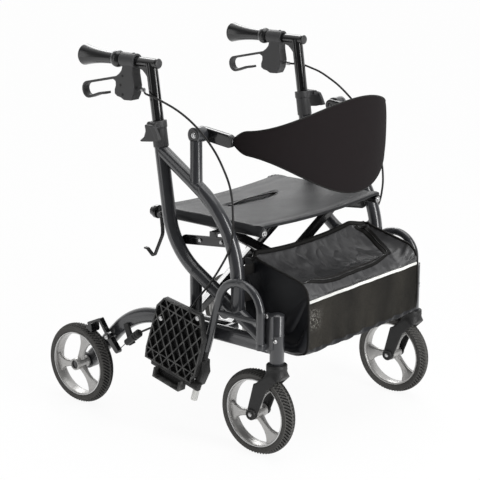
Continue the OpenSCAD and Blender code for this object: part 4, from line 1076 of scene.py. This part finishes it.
class CHAIR_OT_bag(Operator):
    """Storage bag with its lid, zip, piping, tape and straps"""

    bl_idname = "chair.bag"
    bl_label = "Storage bag"

    def execute(self, context):
        loop = bag_loop()
        parts = [part for _, _, part in loop]
        us = [math.sin(math.pi / 2 * (2 * i / BAG_COLUMNS - 1)) for i in range(BAG_COLUMNS + 1)]
        slack = [bag_slack(part) for part in parts]
        self.us = us
        self.rings = drape(
            [[bag_start(u, y, z, part) for y, z, part in loop] for u in us],
            [[bag_held(u, part) for part in parts] for u in us], slack,
        )
        shell = Shape().skin(self.rings, caps=False, tag_of=lambda i, j: bag_panel(parts[j]))
        for end, ring in ((-1, self.rings[0]), (1, self.rings[-1])):
            shell.skin(self.side_panel(end, ring), caps=True, tag=3)
        for end in (-1, 1):
            for foot in BAG_STRAP_Z:
                web = [(end * x, y, foot + z) for x, y, z in BAG_STRAP]
                shell.tube(curve_through(web, 6), 12, 12, flat=0.12, up=(0, 1, 0), tag=4)
        finishes = ["bag_nylon", "bag_net", "side_nylon", "side_nylon", "bag_binding"]
        bag = shell.build("bag_shell", finishes, 1.0, 60)
        settle(bag, "right_frame", ["storage_bag"])
        pieces = [bag, self.trim(), self.zipper(), self.tape()]
        for piece in pieces[1:]:
            settle(piece, "right_frame")
        for piece in pieces:
            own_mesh(piece)
        return {"FINISHED"}

    def side_panel(self, end, ring):
        """Rings from the edge of a side to its middle, slack and creased."""
        centre = sum(ring, Vector()) / len(ring)
        rounds = []
        for k in range(SIDE_RINGS):
            share = 1 - k / (SIDE_RINGS - 0.5)
            line = []
            for p in ring:
                here = centre + (p - centre) * share
                low = ease((312 - here.z) / 40) * ease((-270 - here.y) / 40)
                puff = 1.5 + 3 * ripple(p * share, 48, 5.0) + 9 * low * (0.3 - abs(ripple(here, 24, 8.0)))
                line.append(here + Vector((end * puff * (1 - share ** 4), 0, 0)))
            rounds.append(line)
        held = [[k == 0] * len(ring) for k in range(SIDE_RINGS)]
        return drape(rounds, held, [0.022] * len(ring), 0.1, 80)

    def at(self, u, part, lift=(0, 0, 0)):
        """A point of the settled shell, between the points of its grid."""
        row = min(max(i for i, value in enumerate(self.us) if value <= u), len(self.us) - 2)
        across = (u - self.us[row]) / (self.us[row + 1] - self.us[row])
        place = part * BAG_STEPS
        column = int(place)
        along = place - column
        low = self.rings[row][column].lerp(self.rings[row][column + 1], along)
        high = self.rings[row + 1][column].lerp(self.rings[row + 1][column + 1], along)
        return low.lerp(high, across) + Vector(lift)

    def trim(self):
        """Piping round both sides, and the thick rear edge of the lid."""
        made = Shape()
        for ring in (self.rings[0], self.rings[-1]):
            made.tube(ring[:BAG_FLOOR * BAG_STEPS + 4], size("piping"), 10)
        rear = [ring[0] + Vector((0, -1, 2.5)) for ring in self.rings]
        made.tube(rear, 5.2, 12, flat=1.25, up=(0, 0, 1))
        made.skin(self.flap(self.zip_line(), 8.5))
        return made.build("bag_trim", "bag_binding", 1.0, 60)

    def flap(self, way, half):
        """A flat band that follows the lid along a way across and along it."""
        rings = []
        for i, here in enumerate(way):
            ahead = way[min(i + 1, len(way) - 1)] - way[max(i - 1, 0)]
            side = Vector((-ahead.y * PART_LENGTH, ahead.x * BAG_X)).normalized() * half
            ring = []
            for share, up in ((-1, 0.4), (1, 0.4), (0.85, 2.4), (0.3, 2.4), (-0.3, 2.4), (-0.85, 2.4)):
                u = here.x + share * side.x / BAG_X
                part = here.y + share * side.y / PART_LENGTH
                ring.append(self.at(u, part, (0, -0.5 * up, up)))
            rings.append(ring)
        return rings

    def zip_line(self):
        return curve_through([(u, part, 0) for u, part in ZIP_WAY], 9)

    def zipper(self):
        path = [self.at(p.x, p.y, (0, -1.2, 2.2)) for p in self.zip_line()]
        return Shape().tube(path, 1.5, 8).build("bag_zip", "black_gloss", 1.0, 60)

    def tape(self):
        """Reflective tape across the front, just proud of the cloth."""
        rings = []
        for i in range(81):
            u = -0.985 + 1.97 * i / 80
            wave = 0.025 * ripple((u * BAG_X, 0, 0), 50, 2.5)
            parts = [BAG_TAPE[0] + (BAG_TAPE[1] - BAG_TAPE[0]) * k / 3 + wave for k in range(4)]
            line = [self.at(u, part, (0, -1.2, 0)) for part in parts]
            rings.append(line + [p + Vector((0, 0.8, 0)) for p in reversed(line)])
        return Shape().skin(rings).build("bag_tape", "reflective_tape", 1.0, 50)


def bolt_profile(radius, height):
    """A washer under a domed head with a small socket."""
    return (
        (radius * 1.25, -0.6), (radius * 1.25, 0.5), (radius * 1.05, 0.9), (radius, 1.0),
        (radius, height * 0.6), (radius * 0.82, height * 0.92), (radius * 0.5, height),
        (radius * 0.42, height), (radius * 0.36, height * 0.6), (0, height * 0.6),
    )


# Bolts: body, finish, place, direction, radius and height, for the right side
BOLTS = (
    ("frame", "bright_steel", (-274.4, KNUCKLE_Y, KNUCKLE_Z), (-1, 0, 0), 5.5, 3.4),
    ("frame", "bright_steel", (-289.5, -313.6, 338.8), (-1, 0, 0), 4.6, 3),
    ("frame", "bright_steel", (-281.2, -331.5, 282), (-0.9, -0.43, 0), 4.2, 2.6),
    ("frame", "bright_steel", (-252.2, -86, 464), (-1, 0, 0), 3.8, 2),
    ("frame", "bright_steel", (-252.2, -150, 470), (-1, 0, 0), 3.8, 2),
    ("frame", "bright_steel", (-297, 178, 186), (-1, 0, 0), 4.4, 2.4),
    ("footplate", "bright_steel", (-330, -34, 286), (-1, 0, 0), 4.4, 2),
    ("footplate", "bright_steel", (-330, -147, 309), (-1, 0, 0), 4.4, 2),
    ("handle", "black_plastic", (-FRAME_X, 99, HANDLE_Z + 16), (0, 0, 1), 3.4, 2.2),
)
# Holes in the handles' outer faces, drawn as thin dark discs that paint the shade inside them: place and
# radius
HOLES = (
    ((-279.6, 123, 824), 2.8), ((-279.6, 130, 802), 2.8), ((-279.6, 124, 781), 2.8),
    ((-279.5, 36.2, 804.7), 2.6), ((-279.5, 32.4, 778), 2.6),
)
PLUG_PROFILE = ((11.0, 0), (11.2, 0.6), (10.4, 1.8), (8, 2.6), (4, 3.0), (0, 3.1))
WASHER_PROFILE = ((14.4, -0.3), (14.4, 0.6), (13.6, 1.2), (8.6, 1.2), (8, 0.4), (0, 0.4))
COLLAR_PROFILE = (
    (22.6, 0), (23.9, 0.3), (24.1, 1.6), (23.6, 2.2), (23.8, 3), (23.8, 10.6), (22.8, 12), (20, 12.6),
    (20, 0), (22.6, 0),
)
RECESS_PROFILE = (
    (13.6, -1), (13.4, 2.4), (12.4, 4), (10, 4.6), (8.6, 4.2), (8.2, 3), (8.2, -1), (13.6, -1),
)


# A thin dark disc just proud of the surface: painted shade in place of a hole.
def hole_profile(radius):
    return ((radius + 0.4, -0.4), (radius + 0.3, 0.1), (radius - 0.3, 0.15), (0, 0.05))


class CHAIR_OT_fasteners(Operator):
    """Bolts, rivets, screws and end plugs"""

    bl_idname = "chair.fasteners"
    bl_label = "Fasteners"

    def execute(self, context):
        for side, sign in SIDES:
            groups = {}
            for body, material, place, way, radius, height in BOLTS:
                shape = groups.setdefault((body, material), Shape())
                shape.lathe(place, way, bolt_profile(radius, height), 24)
            for (body, material), shape in groups.items():
                piece = shape.build(f"{side}_{body}_{material}_bolts", material, sign, 30)
                settle(piece, f"{side}_{body}")
            # Painted shade: thin dark discs stand in for the shade inside the handles' holes.
            dark = Shape()
            for place, radius in HOLES:
                dark.lathe(place, (-1, 0, 0), hole_profile(radius), 20)
            settle(dark.build(f"{side}_holes", "cable_jacket", sign, 30), f"{side}_handle")
            plug = Shape().lathe((-FRAME_X, 22.2, HANDLE_Z), (0, -1, 0), PLUG_PROFILE, 32)
            piece = plug.build(f"{side}_bar_plug", "grey_plastic", sign)
            settle(piece, f"{side}_handle")
            self.frame_trim(side, sign)
            self.caster_trim(side, sign)
            rail_end = (-SEAT_RAIL[0], SEAT_Y[0] - 2, SEAT_RAIL[1])
            bolt = Shape().lathe(rail_end, (0, -1, 0), bolt_profile(6, 3.6), 28)
            piece = bolt.build(f"{side}_seat_rail_bolt", "bright_steel", sign, 30)
            settle(piece, "cross_arm_b" if side == "right" else "cross_arm_a")
        return {"FINISHED"}

    def frame_trim(self, side, sign):
        """The weld at the foot of the backrest post, and the dark washer on its knuckle."""
        foot_z, post_r, tube_r = 593.5, 14.3, 16
        slope = math.radians(32.8)
        bead = []
        for k in range(49):
            a = math.tau * k / 48
            x, y = post_r * math.cos(a), post_r * math.sin(a)
            z = foot_z + y * math.tan(slope) + math.sqrt(tube_r ** 2 - x * x) / math.cos(slope)
            bead.append((x - FRAME_X, KNUCKLE_Y + y, z))
        weld = Shape().tube(bead, 1.7, 8, caps=False).build(f"{side}_weld", "frame_paint", sign, 60)
        settle(weld, f"{side}_frame")
        washer = Shape().lathe((-274, KNUCKLE_Y, KNUCKLE_Z), (-1, 0, 0), WASHER_PROFILE, 40)
        piece = washer.build(f"{side}_knuckle_washer", "black_gloss", sign, 30)
        settle(piece, f"{side}_frame")

    def caster_trim(self, side, sign):
        """The collar on the fork's crown and the dark recesses round the axle's ends."""
        collar = Shape().lathe((-FRAME_X, CASTER_PIVOT_Y, 212), (0, 0, 1), COLLAR_PROFILE, 48)
        for end in (-1, 1):
            place = (-FRAME_X + end * 26, CASTER_Y, CASTER_Z)
            collar.lathe(place, (end, 0, 0), RECESS_PROFILE, 36)
        piece = collar.build(f"{side}_fork_trim", "black_plastic", sign, 40)
        settle(piece, f"{side}_caster")
        reach = max(abs(corner.x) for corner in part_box(f"{side}_caster_axle")) / MM - FRAME_X
        bolts = Shape()
        for end in (-1, 1):
            place = (-FRAME_X + end * reach, CASTER_Y, CASTER_Z)
            bolts.lathe(place, (end, 0, 0), bolt_profile(3.6, 2.2), 24)
        settle(bolts.build(f"{side}_caster_bolts", "bright_steel", sign, 30), f"{side}_caster")


# Stage: the way from the chair to its white backdrop, as reflections show it, and the soft light all round
BACKDROP = (0.74, 0.63, 0.25)
BACKDROP_FADE = (-0.1, 0.8)
BACKDROP_LEAST = 0.08
AMBIENT = 0.32
# The floor's glow, and where it fades towards the camera, in metres
FLOOR_GLOW = 0.93
FLOOR_REACH = 30
FLOOR_FADE = (0.8, 1.6)
TO_CAMERA = (-0.76, -0.65)
SOFTBOX_HEIGHT = 2.8


class CHAIR_OT_stage(Operator):
    """White studio, soft light and the camera"""

    bl_idname = "chair.stage"
    bl_label = "Stage"

    def execute(self, context):
        scene = context.scene
        scene.view_settings.view_transform = "Standard"
        self.camera(scene)
        self.world(scene)
        self.floor()
        self.softbox("key", (-0.19, -2.19, 1.45), 0.5, 48)
        self.softbox("fill", (-2.3, 0.85, 1.45), 0.6, 8)
        self.sun("top", (0.1, -0.1, 1.0), 50, 1.2)
        self.sun("back", (0.5, 0.55, 0.5), 30, 0.8)
        return {"FINISHED"}

    def camera(self, scene):
        stage = scene.chair_stage
        data = bpy.data.cameras.new("camera")
        data.lens = stage.lens
        data.sensor_width = 36
        data.clip_end = 100
        camera = linked("camera", data)
        camera.location = stage.place
        camera.rotation_euler = (math.pi / 2 - stage.elevation, 0, stage.azimuth)
        scene.camera = camera

    def world(self, scene):
        """White for the camera, the fading backdrop for reflections and an even soft light for the rest."""
        world = bpy.data.worlds.new("studio")
        world.use_nodes = True
        scene.world = world
        made = Nodes(world.node_tree)
        way = made.signal("ShaderNodeTexCoord", "Generated")
        dot = {"operation": "DOT_PRODUCT"}
        facing = made.signal("ShaderNodeVectorMath", "Value", dot, {0: way, 1: BACKDROP})
        backdrop = BACKDROP_LEAST + (1 - BACKDROP_LEAST) * facing.step(*BACKDROP_FADE)
        glossy = made.ray("Glossy")
        seen = made.ray("Camera").larger(made.ray("Transmission"))
        background = world.node_tree.nodes["Background"]
        made.join(background.inputs["Color"], (1, 1, 1, 1))
        strength = seen.larger(glossy * backdrop).larger((1 - glossy) * AMBIENT)
        made.join(background.inputs["Strength"], strength)

    def floor(self):
        mesh = bpy.data.meshes.new("floor")
        corners = [(x * FLOOR_REACH, y * FLOOR_REACH, 0) for x, y in ((-1, -1), (1, -1), (1, 1), (-1, 1))]
        mesh.from_pydata(corners, [], [(0, 1, 2, 3)])
        floor = linked("floor", mesh)
        made = Finish("floor", colours().floor, 0.9)
        nearer = made.along("X") * TO_CAMERA[0] + made.along("Y") * TO_CAMERA[1]
        shade = made.mix(nearer.step(*FLOOR_FADE), (1, 1, 1), (0.1, 0.1, 0.1))
        glow = made.signal("ShaderNodeEmission", 0, None, {"Color": shade, "Strength": 1.0})
        seen = made.ray("Camera").larger(made.ray("Glossy")).larger(made.ray("Transmission"))
        plain = Signal(made, made.shader.outputs[0])
        mixed = made.signal("ShaderNodeMixShader", 0, None, {0: seen * FLOOR_GLOW, 1: plain, 2: glow})
        made.join(made.tree.nodes["Material Output"].inputs["Surface"], mixed)
        mesh.materials.append(made.material)

    def softbox(self, name, place, breadth, power):
        """An upright lamp that faces the chair and reaches down to the floor."""
        data = bpy.data.lights.new(name, "AREA")
        data.shape = "RECTANGLE"
        data.size = breadth
        data.size_y = SOFTBOX_HEIGHT
        data.energy = power
        lamp = linked(name, data)
        lamp.location = place
        lamp.rotation_euler = Vector((place[0], place[1], 0)).to_track_quat("Z", "Y").to_euler()

    def sun(self, name, way, angle, strength):
        """A distant lamp: the way to it, how wide it looks and its strength."""
        data = bpy.data.lights.new(name, "SUN")
        data.angle = math.radians(angle)
        data.energy = strength
        lamp = linked(name, data)
        lamp.rotation_euler = Vector(way).to_track_quat("Z", "Y").to_euler()


class CHAIR_PT_panel(Panel):
    """Lists the chair's groups of pieces and its settings"""

    bl_idname = "CHAIR_PT_panel"
    bl_label = "Rollator"
    bl_space_type = "VIEW_3D"
    bl_region_type = "UI"
    bl_category = "Rollator"

    def draw(self, context):
        for operator in OPERATORS:
            self.layout.operator(operator.bl_idname)
        for group in (context.scene.chair_sizes, context.scene.chair_colours, context.scene.chair_stage):
            for name in group.bl_rna.properties.keys():
                if name not in {"rna_type", "name"}:
                    self.layout.prop(group, name)


GROUPS = (ChairColours, ChairSizes, ChairStage)
OPERATORS = (
    CHAIR_OT_stage, CHAIR_OT_cables, CHAIR_OT_rigid_parts, CHAIR_OT_wheels, CHAIR_OT_seat,
    CHAIR_OT_backrest, CHAIR_OT_bag, CHAIR_OT_fasteners,
)
CLASSES = GROUPS + OPERATORS + (CHAIR_PT_panel,)


def register():
    for cls in CLASSES:
        bpy.utils.register_class(cls)
    bpy.types.Scene.chair_colours = PointerProperty(type=ChairColours)
    bpy.types.Scene.chair_sizes = PointerProperty(type=ChairSizes)
    bpy.types.Scene.chair_stage = PointerProperty(type=ChairStage)


def unregister():
    del bpy.types.Scene.chair_stage
    del bpy.types.Scene.chair_sizes
    del bpy.types.Scene.chair_colours
    for cls in reversed(CLASSES):
        bpy.utils.unregister_class(cls)


def main():
    register()
    bpy.ops.chair.stage()
    bpy.ops.chair.cables()
    bpy.ops.chair.rigid_parts()
    bpy.ops.chair.wheels()
    bpy.ops.chair.seat()
    bpy.ops.chair.backrest()
    bpy.ops.chair.bag()
    bpy.ops.chair.fasteners()


if __name__ == "__main__":
    main()
